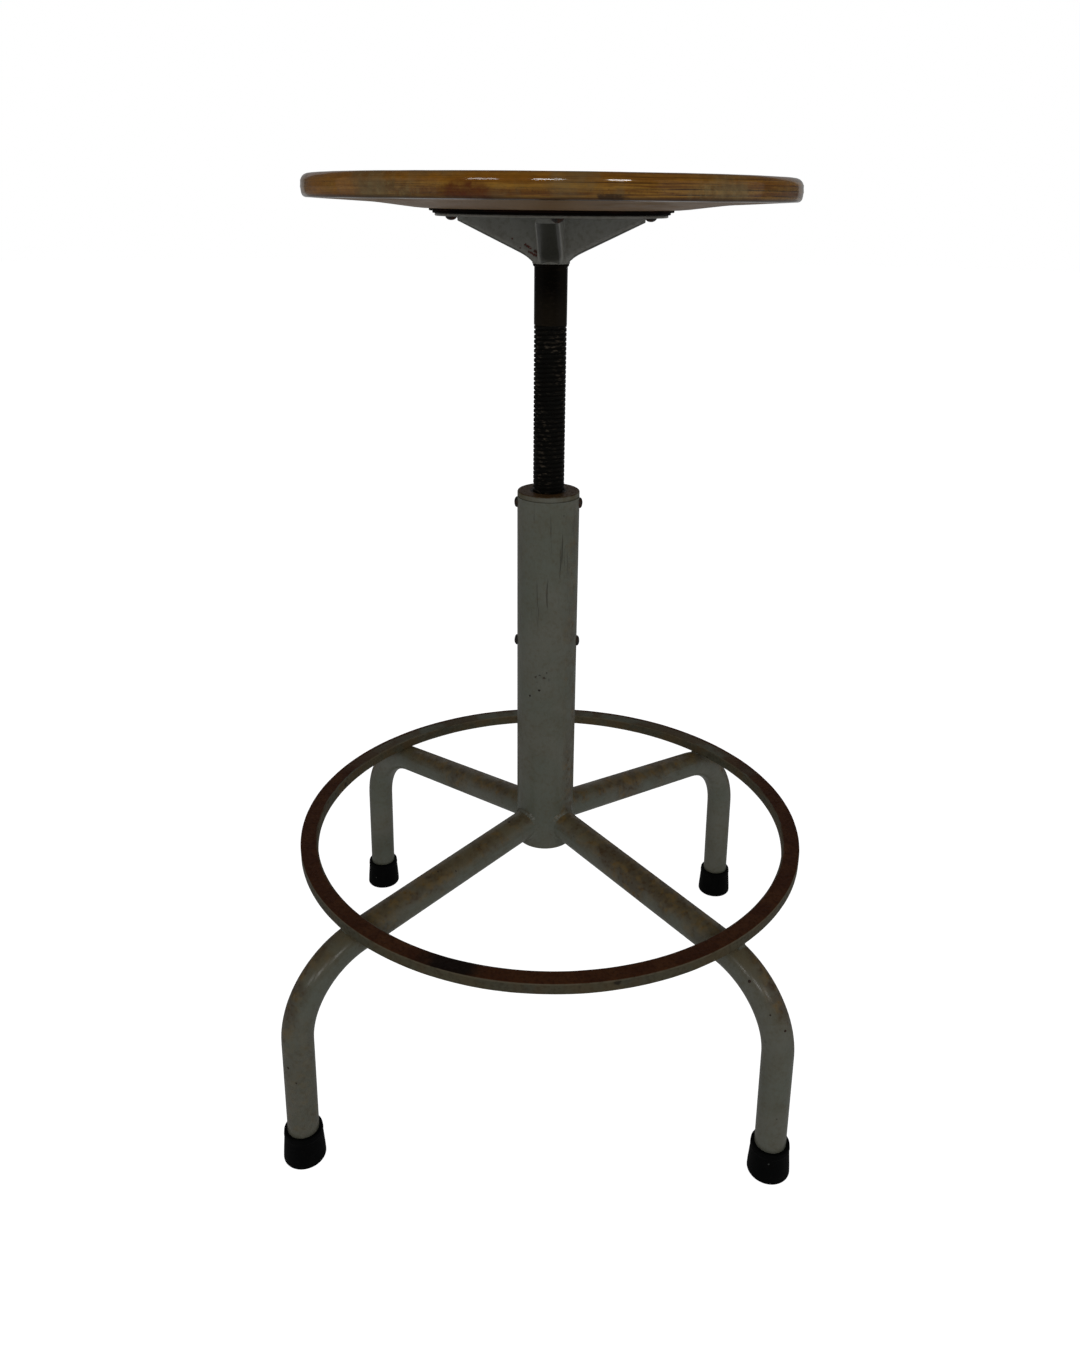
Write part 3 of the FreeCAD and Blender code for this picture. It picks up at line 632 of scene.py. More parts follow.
def collar_finish():
    """The bush's collar: paint on its side, rubbed to brown steel on top."""
    s = Surface("collar_steel", 0.12)
    top = facing_up(s, 0.3, 0.8)
    radius = s.from_axis()
    bare = s.times(top, s.rise(s.ragged(radius, 0.01, 0.008, 1, 5), 0.0275, 0.0235))
    fine = s.cloud(0.4, 0.7, 0.002, 2, 5)
    paint = s.mix(s.cloud(0.35, 0.6, 0.02, 3), PAINT_GREY, PAINT_DIRTY)
    steel = s.mix(fine, (0.17, 0.095, 0.038), (0.085, 0.045, 0.018))
    colour = s.mix(bare, paint, steel)
    colour = s.mix(s.rise(radius, 0.0165, 0.013), colour, (0.012, 0.01, 0.008))
    turned = s.noise(0.0009, 4, 2, place=s.stretch(0.05, 0.05, 1))
    height = s.plus(s.times(s.noise(0.003, 5, 3), 0.6), s.times(turned, 0.3), s.times(bare, -0.5))
    roughness = s.blend(bare, 0.42, s.plus(0.38, s.times(fine, 0.3)))
    return s.finish(colour, roughness, height, 0.00018)


def make_collar(finish):
    """The threaded bush: its collar meets the column in a fine dark joint, its mouth is eased."""
    node = "threaded_bush"
    top, bottom = high(node).z, low(node).z
    bore = 12.5 * MM
    inside = COLUMN_RADIUS - 2.5 * MM
    groove, joint = 0.9 * MM, 0.45 * MM
    corners = [
        (bore, bottom, 0.8 * MM),
        (inside, bottom, 0.5 * MM),
        (inside, COLUMN_TOP, 0),
        (COLUMN_RADIUS - groove, COLUMN_TOP, 0),
        (COLUMN_RADIUS - groove, COLUMN_TOP + joint, 0),
        (COLUMN_RADIUS, COLUMN_TOP + joint, 0.35 * MM),
        (COLUMN_RADIUS, top, 1.1 * MM),
        (bore, top, 1.0 * MM),
    ]
    shape = lathe(divided(rounded(corners), 4 * MM), 128)
    collar = new_piece("threaded_bush_collar", node, shape, finish)
    wear(collar, 0.1 * MM, 9 * MM)


def dark_fastener_finish():
    """Rivets and screws: dark oxidised steel with red-brown rust in the hollows."""
    s = Surface("dark_fasteners", 0.4)
    patch = s.cloud(0.45, 0.65, 0.003, 1, 4)
    fine = s.noise(0.0009, 2, 4)
    colour = s.mix(patch, (0.035, 0.032, 0.028), (0.1, 0.036, 0.016))
    colour = s.mix(s.rise(fine, 0.6, 0.8), colour, (0.12, 0.105, 0.085))
    return s.finish(colour, s.plus(0.38, s.times(patch, 0.3)), fine, 0.0002)


def make_rivets(name, node, finish):
    """Hand-closed rivet heads, a little lopsided, one on each side of the column."""
    middle = ((low(node) + high(node)) / 2).z
    head_radius = 4.4 * MM
    head_height = high(node).x - COLUMN_RADIUS
    sunk = 2.0 * MM
    shells = []
    for side in (-1, 1):
        profile = [(0, head_height)]
        for step in range(1, 9):
            angle = math.radians(90 * step / 8)
            profile.append((head_radius * math.sin(angle), head_height * math.cos(angle) ** 0.8))
        profile += [(head_radius, -sunk), (0, -sunk)]
        vertices, faces = lathe(profile, 32)
        placed = []
        for x, y, z in vertices:
            lean = 1 + 0.06 * uneven((x, y, side), 4 * MM, middle * 40)
            out = COLUMN_RADIUS + z * lean * 0.97
            placed.append(Vector((side * out, x * lean, middle + y)))
        shells.append((placed, faces))
    new_piece(name, node, joined(*shells), finish)


def rubber_finish():
    """Matt black rubber, greyed by dust, scuffed near the floor."""
    s = Surface("foot_rubber", 0.06)
    dust = s.cloud(0.48, 0.7, 0.009, 1, 6)
    low_part = s.rise(s.at[2], 0.012, 0.001)
    scuff = s.times(s.cloud(0.55, 0.7, 0.003, 2, 5), s.blend(low_part, 0.25, 1.0))
    colour = s.coat((0.004, 0.0044, 0.0044), (0.012, 0.012, 0.011), dust, 0.5)
    colour = s.coat(colour, (0.03, 0.029, 0.027), scuff, 0.5)
    colour = s.mix(s.spots(0.007, 0.12, 0.0007, 3), colour, (0.12, 0.12, 0.11))
    height = s.plus(s.times(s.noise(0.0014, 4, 4), 0.8), s.noise(0.012, 5, 2))
    return s.finish(colour, s.plus(0.55, s.times(dust, 0.2)), height, 0.0003)


def make_rubber_foot(corner, azimuth, finish):
    """A flared cap: a soft upper band round the tube, a moulded step, and ribs underneath."""
    node = f"rubber_foot_{corner}"
    lowest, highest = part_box(node)
    centre = (lowest + highest) / 2
    wide = (highest.x - lowest.x) / 2
    top = highest.z
    lip = wide - 1.8 * MM
    mouth = TUBE_RADIUS + 0.05 * MM
    tube_end, groove, eased = 7.5 * MM, 1.2 * MM, 0.3 * MM
    corners = [(0, tube_end, 0), (0, groove, 0)]
    for rib in (4.0 * MM, 8.0 * MM, 12.0 * MM):
        corners += [
            (rib - 1.0 * MM, groove, eased),
            (rib - 0.7 * MM, 0.0, eased),
            (rib + 1.4 * MM, 0.0, eased),
            (rib + 1.7 * MM, groove, eased),
        ]
    corners += [
        (wide - 2.4 * MM, groove, 0.2 * MM),
        (wide - 2.2 * MM, 0.0, eased),
        (wide, 0.0, 1.4 * MM),
        (wide - 0.35 * MM, 7.0 * MM, 5.0 * MM),
        (lip + 0.15 * MM, top - 5.2 * MM, 1.2 * MM),
        (lip + 0.45 * MM, top - 4.4 * MM, 0.8 * MM),
        (lip, top, 1.1 * MM),
        (mouth, top, 0.5 * MM),
        (mouth, tube_end, 0),
    ]
    shape = lathe(divided(rounded(corners), 3 * MM), 96, (centre.x, centre.y))
    foot = new_piece(f"{node}_cap", node, shape, finish, 50.0)
    lean = polar(0.9 * math.tan(LEG_LEAN), azimuth)
    for vertex in foot.data.vertices:
        vertex.co -= lean * (vertex.co.z - centre.z)
    wear(foot, 0.12 * MM, 8 * MM, azimuth / 50)


def plain_steel_finish():
    """Turned steel, dull and faintly rusty: the parts inside the column and the feet."""
    s = Surface("plain_steel", Metallic=0.9)
    patch = s.cloud(0.45, 0.7, 0.006, 1, 5)
    rings = s.noise(0.0008, 2, 2, place=s.stretch(0.1, 0.1, 1))
    colour = s.mix(patch, (0.26, 0.25, 0.23), (0.12, 0.065, 0.035))
    return s.finish(colour, s.plus(0.35, s.times(patch, 0.35)), rings, 0.0001)


# ---- seat assembly


def screw_finish(name, thread):
    """Black oiled steel; the thread's crests are lighter in patches, painted glints that also stand
    for dust; the neck is rubbed brown.
    """
    s = Surface(name, 0.07)
    patch = s.cloud(0.42, 0.66, 0.014, 1, 5, place=s.stretch(1, 1, 0.6))
    fine = s.cloud(0.5, 0.66, 0.0016, 2, 4, place=s.stretch(0.35, 0.35, 1))
    if thread:
        # lighter crests in patches: painted glints, partly dust
        crest = s.rise(s.from_axis(), 0.01205, 0.01225)
        dust_and_glint = s.times(patch, fine, crest)
        colour = s.mix(dust_and_glint, (0.0085, 0.008, 0.0065), (0.13, 0.104, 0.076))
        roughness = s.plus(0.34, s.times(patch, 0.25))
    else:
        lower_end = s.rise(s.at[2], 0.668, 0.641)
        colour = s.mix(patch, (0.006, 0.0046, 0.0024), (0.013, 0.0088, 0.0046))
        colour = s.coat(colour, (0.023, 0.017, 0.01), lower_end, 0.8)
        colour = s.coat(colour, (0.045, 0.032, 0.02), fine, 0.25)
        roughness = s.plus(0.3, s.times(patch, 0.18))
    height = s.plus(s.times(s.noise(0.0022, 3, 3), 0.5), s.times(fine, 0.4))
    return s.finish(colour, roughness, height, 0.00012)


def threaded_rod(bottom, top, crest, depth):
    """A closed rod whose whole side is one helical thread, right-handed."""
    segments, rows_per_turn = 60, 9
    shares = (0.0, 0.05, 0.3, 0.56, 0.62, 0.72, 0.77, 0.86, 0.96)
    sinks = (0.08, 0.0, 0.0, 0.0, 0.1, 0.94, 1.0, 1.0, 0.3)
    rows = math.floor((top - bottom) / THREAD_PITCH) * rows_per_turn
    vertices = []
    for row in range(rows + 1):
        turn, part = divmod(row, rows_per_turn)
        for segment in range(segments):
            angle = math.tau * segment / segments
            radius = crest - depth * sinks[part]
            height = bottom + THREAD_PITCH * (turn + shares[part] + segment / segments)
            vertices.append((radius * math.cos(angle), radius * math.sin(angle), height))

    def vertex_at(row, segment):
        """A vertex's number; the last segment meets the first one of the turn above."""
        turn, place = divmod(segment, segments)
        return (row + turn * rows_per_turn) * segments + place

    faces = []
    for row in range(rows):
        for segment in range(segments):
            if segment + 1 < segments or row + rows_per_turn + 1 <= rows:
                below = (vertex_at(row, segment), vertex_at(row, segment + 1))
                above = (vertex_at(row + 1, segment + 1), vertex_at(row + 1, segment))
                faces.append(below + above)
    last = rows * segments
    first_loop = list(range(segments)) + [row * segments for row in range(rows_per_turn, -1, -1)]
    final_start = rows - rows_per_turn
    top_loop = [last + segment for segment in range(segments)]
    top_loop += [row * segments + segments - 1 for row in range(rows - 1, final_start - 1, -1)]
    for loop in (first_loop, top_loop):
        centre = len(vertices)
        height = sum(vertices[index][2] for index in loop) / len(loop)
        vertices.append((0, 0, height))
        ring = list(dict.fromkeys(loop))
        for i, index in enumerate(ring):
            faces.append((index, ring[(i + 1) % len(ring)], centre))
    return vertices, faces


def make_screw():
    """The screw in three closed shells: plain neck, threaded rod and turned-down spigot."""
    rod_top = 638 * MM
    rod_bottom = high("stop_washer").z + 0.4 * MM
    crest = 12.4 * MM
    node = "screw_spindle"
    neck_radius = half_width(node)
    neck = rounded(section(0, neck_radius, rod_top, high(node).z, (0, 0.5 * MM, 0, 0)))
    spigot_top = rod_bottom + 2 * THREAD_PITCH
    spigot = rounded(section(0, 8 * MM, low(node).z, spigot_top, (0, 1.0 * MM, 0, 0)))
    thread = threaded_rod(rod_bottom, rod_top + THREAD_PITCH, crest, 0.95 * MM)
    black = screw_finish("screw_thread_steel", True)
    brown = screw_finish("screw_neck_steel", False)
    new_piece("screw_thread", node, joined(thread, lathe(spigot, 48)), black, 50.0)
    new_piece("screw_neck", node, lathe(divided(neck, 6 * MM), 96), brown)
    ring_radius = neck_radius - 0.3 * MM
    height = high("hub_weld").z - 0.9 * MM
    line = [polar(ring_radius, azimuth, height) for azimuth in range(0, 360, 3)]
    new_piece("hub_weld_bead", "hub_weld", bead(line, 1.2 * MM, 3.0), brown)


def bracket_chips(s):
    """Slanting scratches down to red oxide on the left arm's front, near the hub."""
    front = -9.8 * MM
    scratches = (
        ((-19.2, 695.6), (-14.1, 692.5), 4),
        ((-16.7, 690.8), (-9.9, 687.4), 5),
        ((-12.4, 691.3), (-7.3, 688.6), 4),
        ((-25.3, 693.4), (-21.8, 693.0), 2),
        ((-28.7, 699.4), (-28.0, 698.9), 1),
    )
    spots = []
    for start, end, count in scratches:
        for step in range(count):
            share = (step + 0.5) / count
            x, z = (a + (b - a) * share for a, b in zip(start, end))
            spots.append(s.near((x * MM, front, z * MM), 1.35 * MM, 0.45, 3 + step))
    return s.most(*spots)


def make_bracket_arm(side, azimuth, finish):
    """A channel folded from sheet with rounded folds; its web slopes up from hub to rim."""
    node = f"bracket_arm_{side}"
    hub = half_width("hub_socket")
    root, bottom = (18.2 * MM, 686.8 * MM), low("hub_socket").z
    tip = (68.2 * MM, 711.0 * MM)
    top = low("bracket_flange").z
    widest, narrowest, sheet = 9.8 * MM, 8.7 * MM, 1.8 * MM
    slope = (tip[1] - root[1]) / (tip[0] - root[0])
    stations = 26

    def web_height(reach):
        """Underside of the web; a short steep part at the hub eases into the slope."""
        steep = bottom + (reach - hub) * (root[1] - bottom) / (root[0] - hub)
        sloping = root[1] + (reach - root[0]) * slope
        ease = 1.2 * MM
        return max(bottom, -ease * math.log(math.exp(-steep / ease) + math.exp(-sloping / ease)))

    vertices = []
    for station in range(stations):
        share = (station / (stations - 1)) ** 1.4
        under = min(web_height(hub + (tip[0] - hub) * share), tip[1])
        wide = widest + (narrowest - widest) * share
        fold = min(3.6 * MM, top - under - 0.2 * MM)
        inside_fold = max(0.3 * MM, fold - sheet)
        inner = wide - sheet
        corners = [
            (-wide, top, 0),
            (-wide, under, fold),
            (wide, under, fold),
            (wide, top, 0),
            (inner, top, 0),
            (inner, under + sheet, inside_fold),
            (-inner, under + sheet, inside_fold),
            (-inner, top, 0),
        ]
        at_tip = station == stations - 1
        for across, up in rounded(corners):
            inside = abs(across) < inner + inside_fold and up > under + 0.5 * sheet
            height = top if at_tip and inside else min(up, top)
            start = math.sqrt((hub - 0.3 * MM) ** 2 - across**2)
            reach = start + (tip[0] - start) * share
            vertices.append(polar(reach, azimuth, height) + polar(across, azimuth + 90))
    count = len(vertices) // stations
    ends = [tuple(range(count)), tuple(range((stations - 1) * count, stations * count))]
    shape = (vertices, ends + skin(stations, count, closed=False))
    new_piece(f"{node}_channel", node, shape, finish, 35.0)


def make_disc(node, finish, rounding, buckle):
    """A round sheet with an eased edge that buckles a little."""
    wide = half_width(node)
    corners = section(0, wide, low(node).z, high(node).z, (0, rounding, rounding, 0))
    shape = lathe(divided(rounded(corners, math.radians(30)), 8 * MM), 180)
    disc = new_piece(f"{node}_disc", node, shape, finish)
    for vertex in disc.data.vertices:
        radius = vertex.co.xy.length
        if radius > 0.8 * wide:
            vertex.co.xy *= 1 - buckle / wide * (1 + uneven(vertex.co, 22 * MM, wide * 90)) / 2


def enamel_finish(name, colour, rough, edge_colour):
    """A thin dark disc: dull enamel or fibre, redder and rubbed along its edge."""
    s = Surface(name, 0.06)
    cloud = s.cloud(0.42, 0.66, 0.012, 1, 5)
    wide = half_width("seat_pad")
    rim = s.rise(s.from_axis(), wide - 6 * MM, wide - 3 * MM)
    edge = s.times(rim, s.cloud(0.4, 0.6, 0.02, 2, 5))
    base = s.coat(colour, tuple(2.2 * part for part in colour), cloud, 0.4)
    mixed = s.coat(base, edge_colour, edge, 0.7)
    height = s.plus(s.noise(0.002, 3, 4), s.times(cloud, 0.4))
    return s.finish(mixed, s.plus(rough, s.times(cloud, 0.15)), height, 0.0002)


def make_seat_screws(finish):
    """Round heads with a driver's slot, each turned its own way."""
    circle = 73 * MM
    top = low("bracket_flange").z
    head_radius, head_height = 4.4 * MM, top - low("seat_screws").z
    slot_width, slot_depth = 0.6 * MM, 1.1 * MM
    shells = []
    for number in range(4):
        centre = polar(circle, 90 * number + SEAT_TURN)
        slot_angle = math.radians(37 + 71 * number)
        profile = [(0, 0.4 * MM), (head_radius * 0.98, 0.4 * MM), (head_radius, 0)]
        for step in range(1, 15):
            angle = math.radians(90 * step / 14)
            profile.append((head_radius * math.cos(angle), -head_height * math.sin(angle)))
        profile[-1] = (0, -head_height)
        vertices, faces = lathe(profile, 48)
        placed = []
        for x, y, z in vertices:
            across = -x * math.sin(slot_angle) + y * math.cos(slot_angle)
            cut = max(0.0, 1 - (across / slot_width) ** 4) * slot_depth if z < -0.8 * MM else 0
            placed.append(centre + Vector((x, y, min(top, top + z + cut))))
        shells.append((placed, faces))
    new_piece("seat_screw_heads", "seat_screws", joined(*shells), finish, 60.0)


PLY_COUNT = 5
SEAT_TOP = high("seat_board").z
SEAT_THICKNESS = 15.9 * MM
SEAT_RADIUS = half_width("seat_board")
VENEER_LIGHT = (0.74, 0.37, 0.052)
VENEER_DARK = (0.33, 0.12, 0.012)
VENEER_WORN = (0.4, 0.29, 0.135)
# dark of glue lines and pores, also used for painted shade along the rim's lower edge
GLUE_AND_SHADE_DARK = (0.06, 0.026, 0.008)


def plywood_finish():
    """Varnished moulded plywood: faces of long veneer, an edge of plies whose grain crosses."""
    s = Surface("seat_plywood", 0.08, Coat_Roughness=0.08, Coat_IOR=1.5)
    radius = s.from_axis()
    edge = s.rise(radius, SEAT_RADIUS - 9.0 * MM, SEAT_RADIUS - 8.0 * MM)
    up = s.rise(s.facing[2], -0.1, 0.1)
    wavy = s.times(s.plus(s.noise(0.1, 1, 2), -0.5), 1.2 * MM)
    depth_at_rim = s.plus(SEAT_TOP, s.times(s.at[2], -1.0), wavy)
    ply = s.times(depth_at_rim, PLY_COUNT / SEAT_THICKNESS)
    part = s.calc("FRACT", ply)
    number = s.calc("FLOOR", ply)
    odd = s.calc("MODULO", s.calc("ABSOLUTE", number), 2.0)
    glue_line = s.most(s.rise(part, 0.16, 0.04), s.rise(part, 0.84, 0.96))
    broken = s.cloud(0.36, 0.58, 0.018, 2, 5, place=s.stretch(0.5, 0.5, 4))
    across_x = s.calc("DIVIDE", s.calc("ABSOLUTE", s.at[0]), radius)
    end_grain = s.blend(odd, across_x, s.inverse(across_x))

    rim_streak = s.noise(0.03, 3, 6, 0.65, place=s.stretch(0.45, 0.45, 14))
    pores = s.cloud(0.5, 0.68, 0.0011, 4, 3)
    mottle = s.cloud(0.36, 0.64, 0.0055, 15, 5, 0.65, place=s.stretch(1, 1, 1.6))
    side = s.mix(s.rise(rim_streak, 0.42, 0.58), VENEER_DARK, VENEER_LIGHT)
    side = s.coat(side, (0.33, 0.14, 0.026), end_grain, 0.45)
    side = s.coat(side, GLUE_AND_SHADE_DARK, pores, end_grain, 0.5)
    right_half = s.blend(s.rise(s.at[0], -0.02, 0.06), 0.35, 0.95)
    side = s.coat(side, GLUE_AND_SHADE_DARK, glue_line, broken, right_half)
    wavy_height = s.plus(s.at[2], s.times(wavy, 3.0))
    upper_band = s.rise(wavy_height, SEAT_TOP - 8.0 * MM, SEAT_TOP - 5.0 * MM)
    left_half = s.rise(s.at[0], 0.05, -0.03)
    upper_amber = s.times(upper_band, s.blend(left_half, 0.55, 1.0))
    amber = s.most(upper_amber, s.cloud(0.52, 0.66, 0.06, 5))
    side = s.coat(side, (0.66, 0.25, 0.01), amber, 0.7)
    upright = s.noise(0.004, 14, 5, 0.7, place=s.stretch(1, 1, 0.35))
    olive = s.most(
        s.near((-0.098, -0.148, SEAT_TOP - 9 * MM), 0.036, 0.4),
        s.near((-0.17, -0.05, SEAT_TOP - 8 * MM), 0.04, 0.5),
        s.times(s.near((0.105, -0.143, SEAT_TOP - 8 * MM), 0.034, 0.3), 0.8),
    )
    streaked = s.blend(s.rise(upright, 0.42, 0.6), 0.35, 1.0)
    olive = s.times(olive, streaked, s.inverse(s.times(upper_band, 0.6)))
    olive_wood = s.mix(mottle, (0.3, 0.185, 0.048), (0.54, 0.39, 0.145))
    side = s.coat(side, olive_wood, olive, 0.8)
    worn = s.times(s.cloud(0.52, 0.66, 0.034, 6, 5), 0.55)
    side = s.mix(worn, side, VENEER_WORN)
    # painted sheen: pale grey on the rim's left and right ends
    end_sheen = s.rise(s.calc("ABSOLUTE", s.at[0]), 0.164, 0.177)
    side = s.coat(side, (0.6, 0.52, 0.37), end_sheen, s.blend(mottle, 0.65, 0.95))
    burnt_places = ((x, -0.172, SEAT_TOP - 13 * MM) for x in (-0.053, -0.045, -0.037))
    burnt = s.most(*(s.near(place, 0.0095, 0.3) for place in burnt_places))
    side = s.coat(side, (0.2, 0.034, 0.004), burnt, s.blend(mottle, 0.45, 0.85))
    ragged_height = s.plus(s.at[2], s.times(s.plus(upright, -0.5), 0.004))
    foot_line = s.rise(ragged_height, SEAT_TOP - 11.8 * MM, SEAT_TOP - 13.6 * MM)
    filled_places = ((x, -0.174, SEAT_TOP - 14 * MM) for x in (0.036, 0.044))
    filled = s.most(*(s.near(place, 0.0075, 0.5) for place in filled_places))
    side = s.coat(side, (0.05, 0.022, 0.005), filled, foot_line, 0.85)
    side = s.coat(side, (0.13, 0.048, 0.008), s.inverse(mottle), 0.22)
    underside = SEAT_TOP - SEAT_THICKNESS
    # painted shade: a dark band where the rim rounds under
    shaded_lower_edge = s.rise(s.at[2], underside + 2.6 * MM, underside + 0.8 * MM)
    side = s.coat(side, GLUE_AND_SHADE_DARK, shaded_lower_edge, 0.75)

    grain_place = s.turned(math.radians(12))
    long_grain = s.noise(0.01, 7, 6, 0.6, place=s.stretch(0.07, 1, 1, grain_place), warp=0.6)
    figure = s.noise(0.09, 8, 3, place=s.stretch(0.3, 1, 1, grain_place))
    flecks = s.cloud(0.63, 0.72, 0.0022, 9, 2, place=s.stretch(0.16, 1, 1, grain_place))
    face = s.mix(s.rise(long_grain, 0.32, 0.68), (0.43, 0.195, 0.05), (0.62, 0.33, 0.105))
    face = s.coat(face, (0.54, 0.225, 0.045), s.rise(figure, 0.4, 0.65), 0.45)
    face = s.coat(face, (0.19, 0.075, 0.022), flecks, 0.5)
    sat_radius = s.plus(radius, s.times(s.plus(figure, -0.5), 0.08))
    sat_on = s.times(s.rise(sat_radius, 0.135, 0.055), 0.35)
    scratch = s.cloud(0.68, 0.74, 0.0018, 10, 2, place=s.stretch(0.05, 1, 1))
    top = s.mix(sat_on, face, VENEER_WORN)
    top = s.coat(top, (0.15, 0.07, 0.03), scratch, 0.4)
    under = s.mix(0.7, face, (0.4, 0.275, 0.165))
    stained = s.times(s.cloud(0.45, 0.65, 0.045, 11, 5), 0.5)
    under = s.mix(stained, under, (0.3, 0.19, 0.1))
    colour = s.mix(edge, s.mix(up, under, top), side)

    varnish = s.times(s.blend(edge, s.blend(up, 0.1, 0.5), 0.9), s.inverse(s.times(worn, 0.6)))
    roughness = s.plus(0.38, s.times(worn, 0.25), s.times(pores, 0.08))
    height = s.plus(
        s.times(glue_line, edge, broken, -0.8),
        s.times(s.noise(0.0018, 12, 3), 0.35),
        s.times(s.noise(0.016, 13, 2), 1.1),
        s.times(long_grain, s.inverse(edge), 0.5),
        s.times(scratch, up, -0.5),
    )
    return s.finish(colour, roughness, height, 0.00022, Coat_Weight=varnish)


def make_seat(finish):
    """The board: level middle, easy slope and nearly level rim, the same thickness all over."""
    shoulder_radius, flat_radius = 128 * MM, 93 * MM
    dish, shoulder_drop, bend = 6.6 * MM, 2.6 * MM, 130 * MM
    rim, edge = SEAT_TOP, SEAT_RADIUS
    under = rim - SEAT_THICKNESS
    corners = [
        (0, under - dish, 0),
        (flat_radius, under - dish, bend),
        (shoulder_radius, under - shoulder_drop, bend),
        (edge - 0.8 * MM, under, 3.4 * MM),
        (edge, under + 5.0 * MM, 22 * MM),
        (edge, rim - 7.0 * MM, 24 * MM),
        (edge - 1.3 * MM, rim, 6.0 * MM),
        (shoulder_radius, rim - shoulder_drop, bend),
        (flat_radius, rim - dish, bend),
        (0, rim - dish, 0),
    ]
    shape = lathe(divided(rounded(corners, math.radians(4)), 4 * MM), 300)
    seat = new_piece("plywood_seat", "seat_board", shape, finish, 60.0)
    wear(seat, 0.3 * MM, 45 * MM, 5.0)


# ---- studio


def make_camera():
    """Level with the seat's rim, close in front, looking down at the base with a short lens."""
    distance, height = 0.83, 0.7261
    heading, pitch, roll = (math.radians(angle) for angle in (1.4, 21.64, 0.64))
    data = bpy.data.cameras.new("camera")
    data.sensor_width = 36
    data.lens = 28.36
    data.shift_x, data.shift_y = -0.00525, -0.0398
    camera = in_scene("camera", data)
    place = Matrix.Translation(polar(distance, -90 + math.degrees(heading), height))
    upright = Matrix.Rotation(heading, 4, "Z") @ Matrix.Rotation(math.pi / 2 - pitch, 4, "X")
    camera.matrix_world = place @ upright @ Matrix.Rotation(roll, 4, "Z")
    bpy.context.scene.camera = camera


def stage_sheet(name, size, height, colour, glow):
    """A plain round sheet of floor, clear from below so that the underside can be seen."""
    mesh = bpy.data.meshes.new(name)
    vertices = [polar(size, 6 * step, height) for step in range(60)]
    mesh.from_pydata(vertices, [], [tuple(range(60))])
    sheet = in_scene(name, mesh)
    s = Surface(name, 0, Emission_Color=(1, 1, 1), Emission_Strength=glow)
    grain = s.noise(0.4, 1, 2)
    shade = s.coat(colour, tuple(0.9 * part for part in colour), grain, 0.03)
    mesh.materials.append(s.finish(shade, 0.9, grain, 0.0001))
    below = s.add("ShaderNodeNewGeometry", {}, "Backfacing")
    clear = s.add("ShaderNodeBsdfTransparent", {})
    upper = s.shader.outputs[0]
    whole = s.add("ShaderNodeMixShader", {0: below, 1: upper, 2: clear})
    s.feed(s.nodes["Material Output"].inputs["Surface"], whole)
    return sheet


def panel(name, azimuth, elevation, distance, width, height, radiance):
    """A soft panel of light that faces the middle of the stool."""
    light = bpy.data.lights.new(name, "AREA")
    light.shape = "RECTANGLE"
    light.size, light.size_y = width, height
    light.energy = radiance * math.pi * width * height
    lamp = in_scene(name, light)
    up = math.radians(elevation)
    middle = Vector((0, 0, 0.45))
    toward = polar(math.cos(up), azimuth, math.sin(up))
    lamp.location = middle + toward * distance
    lamp.rotation_euler = toward.to_track_quat("Z", "Y").to_euler()


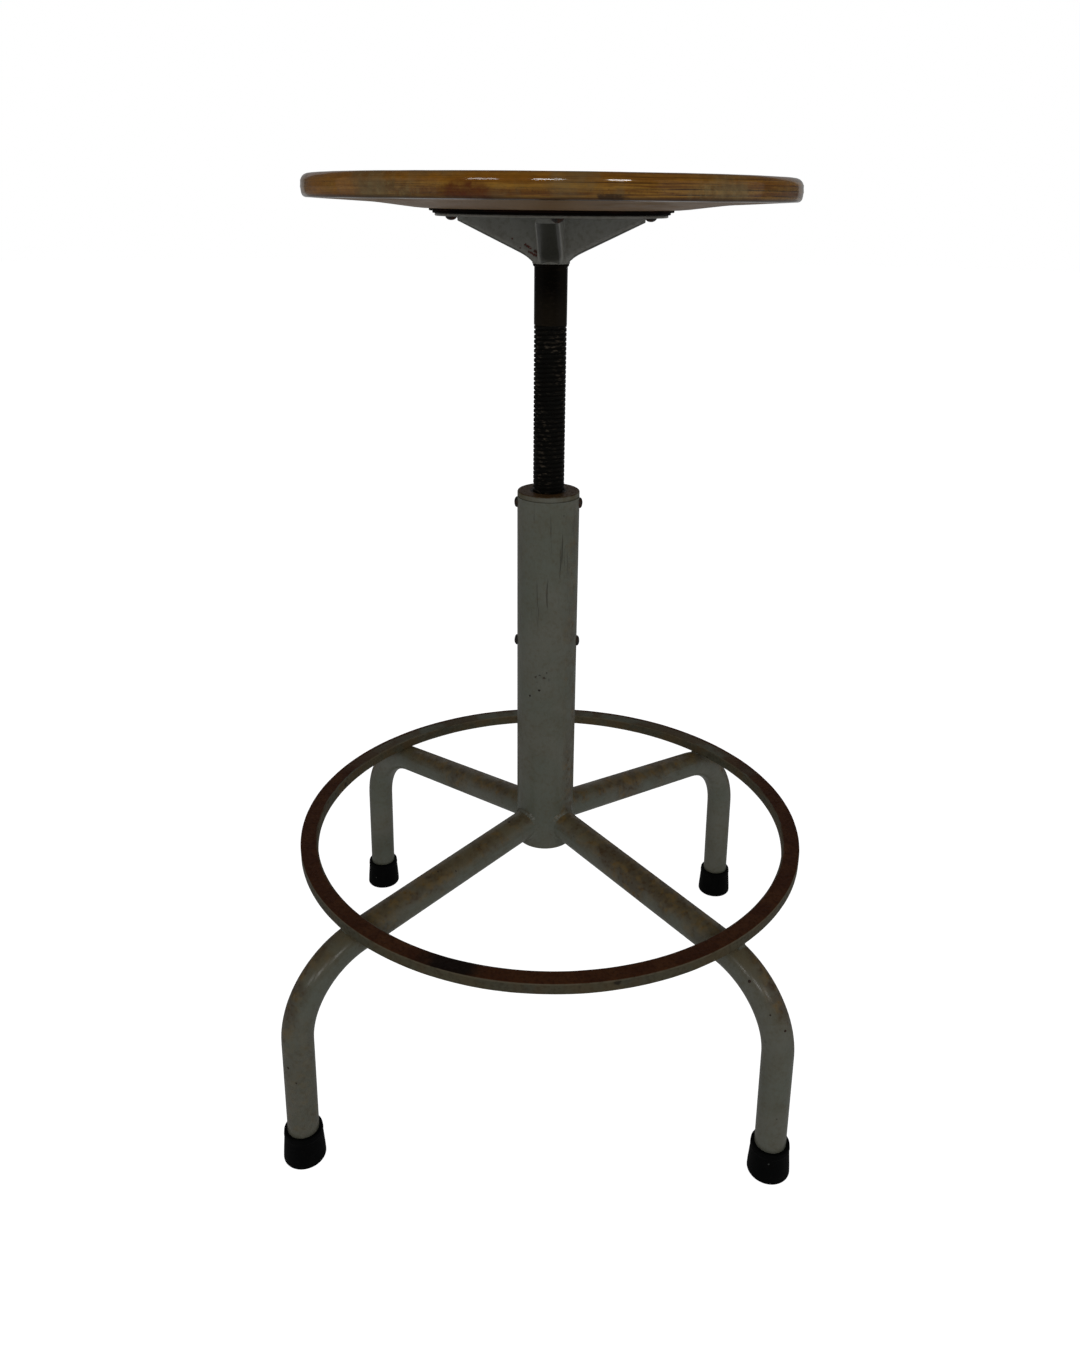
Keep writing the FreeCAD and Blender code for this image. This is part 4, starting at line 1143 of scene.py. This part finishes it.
def make_studio():
    """A pale floor, a white backdrop that only the view sees, soft light from all round."""
    lit = stage_sheet("floor", 14.0, -0.0006, (0.62, 0.62, 0.62), 0.085)
    lit.visible_camera = False
    seen = stage_sheet("floor_top", 14.0, -0.0004, (0.9, 0.9, 0.9), 0.975)
    mesh = bpy.data.meshes.new("backdrop")
    dome = bmesh.new()
    bmesh.ops.create_icosphere(dome, subdivisions=4, radius=13.5)
    dome.to_mesh(mesh)
    dome.free()
    backdrop = in_scene("backdrop", mesh)
    black, white = (0, 0, 0), (1, 1, 1)
    s = Surface("backdrop", 0, Base_Color=black, Emission_Color=white, Emission_Strength=1)
    mesh.materials.append(s.material)
    for sheet in (seen, backdrop):
        sheet.visible_diffuse = sheet.visible_glossy = False
        sheet.visible_shadow = sheet.visible_transmission = False
    world = bpy.data.worlds.new("soft_studio")
    world.use_nodes = True
    sky = world.node_tree.nodes["Background"]
    sky.inputs["Color"].default_value = (1.0, 1.0, 1.0, 1)
    sky.inputs["Strength"].default_value = 0.062
    bpy.context.scene.world = world
    panel("left_side", -165, 8, 2.2, 2.4, 2.0, 0.14)
    panel("right_side", -15, 8, 2.2, 2.4, 2.0, 0.19)
    panel("back_wall", 90, 10, 3.5, 5.0, 3.0, 0.2)
    panel("left_window", -118, 25, 3.0, 0.6, 0.2, 6.5)
    panel("middle_window", -90, 25, 3.0, 0.6, 0.12, 17.0)
    panel("right_window", -60, 25, 3.0, 0.45, 0.12, 20.0)


# ---- put together


def build_base():
    paint_base()
    weld_paint = painted_steel("weld_paint", lambda s: s.times(facing_up(s), 0.8), grime=0.7)
    make_column_welds(weld_paint)
    make_ring_welds(weld_paint)
    make_foot_ring(ring_finish())
    make_collar(collar_finish())
    fasteners = dark_fastener_finish()
    make_rivets("upper_rivet_heads", "upper_rivets", fasteners)
    make_rivets("lower_rivet_heads", "lower_rivets", fasteners)
    rubber = rubber_finish()
    for corner, azimuth in CORNERS.items():
        make_rubber_foot(corner, azimuth, rubber)
    steel = plain_steel_finish()
    for node in ("guide_bush", "stop_washer", "stop_nut", "split_pin", "foot_washers"):
        dress(node, steel)
    return fasteners


def build_seat_assembly(fasteners):
    make_screw()
    # the bracket's webs, which face down, are darkened with painted shade
    bracket_paint = painted_steel(
        "bracket_paint", chips=bracket_chips, grime=0.25, underside_painted_shade=0.9, paleness=0.85,
        chip_colour=RED_OXIDE
    )
    dress("hub_socket", bracket_paint)
    for side, azimuth in SIDES.items():
        make_bracket_arm(side, azimuth + BRACKET_TURN, bracket_paint)
    make_disc("bracket_flange", bracket_paint, 0.6 * MM, 0.3 * MM)
    enamel = enamel_finish("black_enamel", (0.0045, 0.0038, 0.0034), 0.5, (0.012, 0.005, 0.004))
    fibre = enamel_finish("black_fibre", (0.006, 0.0044, 0.0034), 0.65, (0.026, 0.009, 0.006))
    make_disc("seat_plate", enamel, 0.5 * MM, 0.5 * MM)
    make_disc("seat_pad", fibre, 0.6 * MM, 0.8 * MM)
    make_seat_screws(fasteners)
    make_seat(plywood_finish())


build_seat_assembly(build_base())
make_camera()
make_studio()
bpy.context.scene.view_settings.view_transform = "Standard"
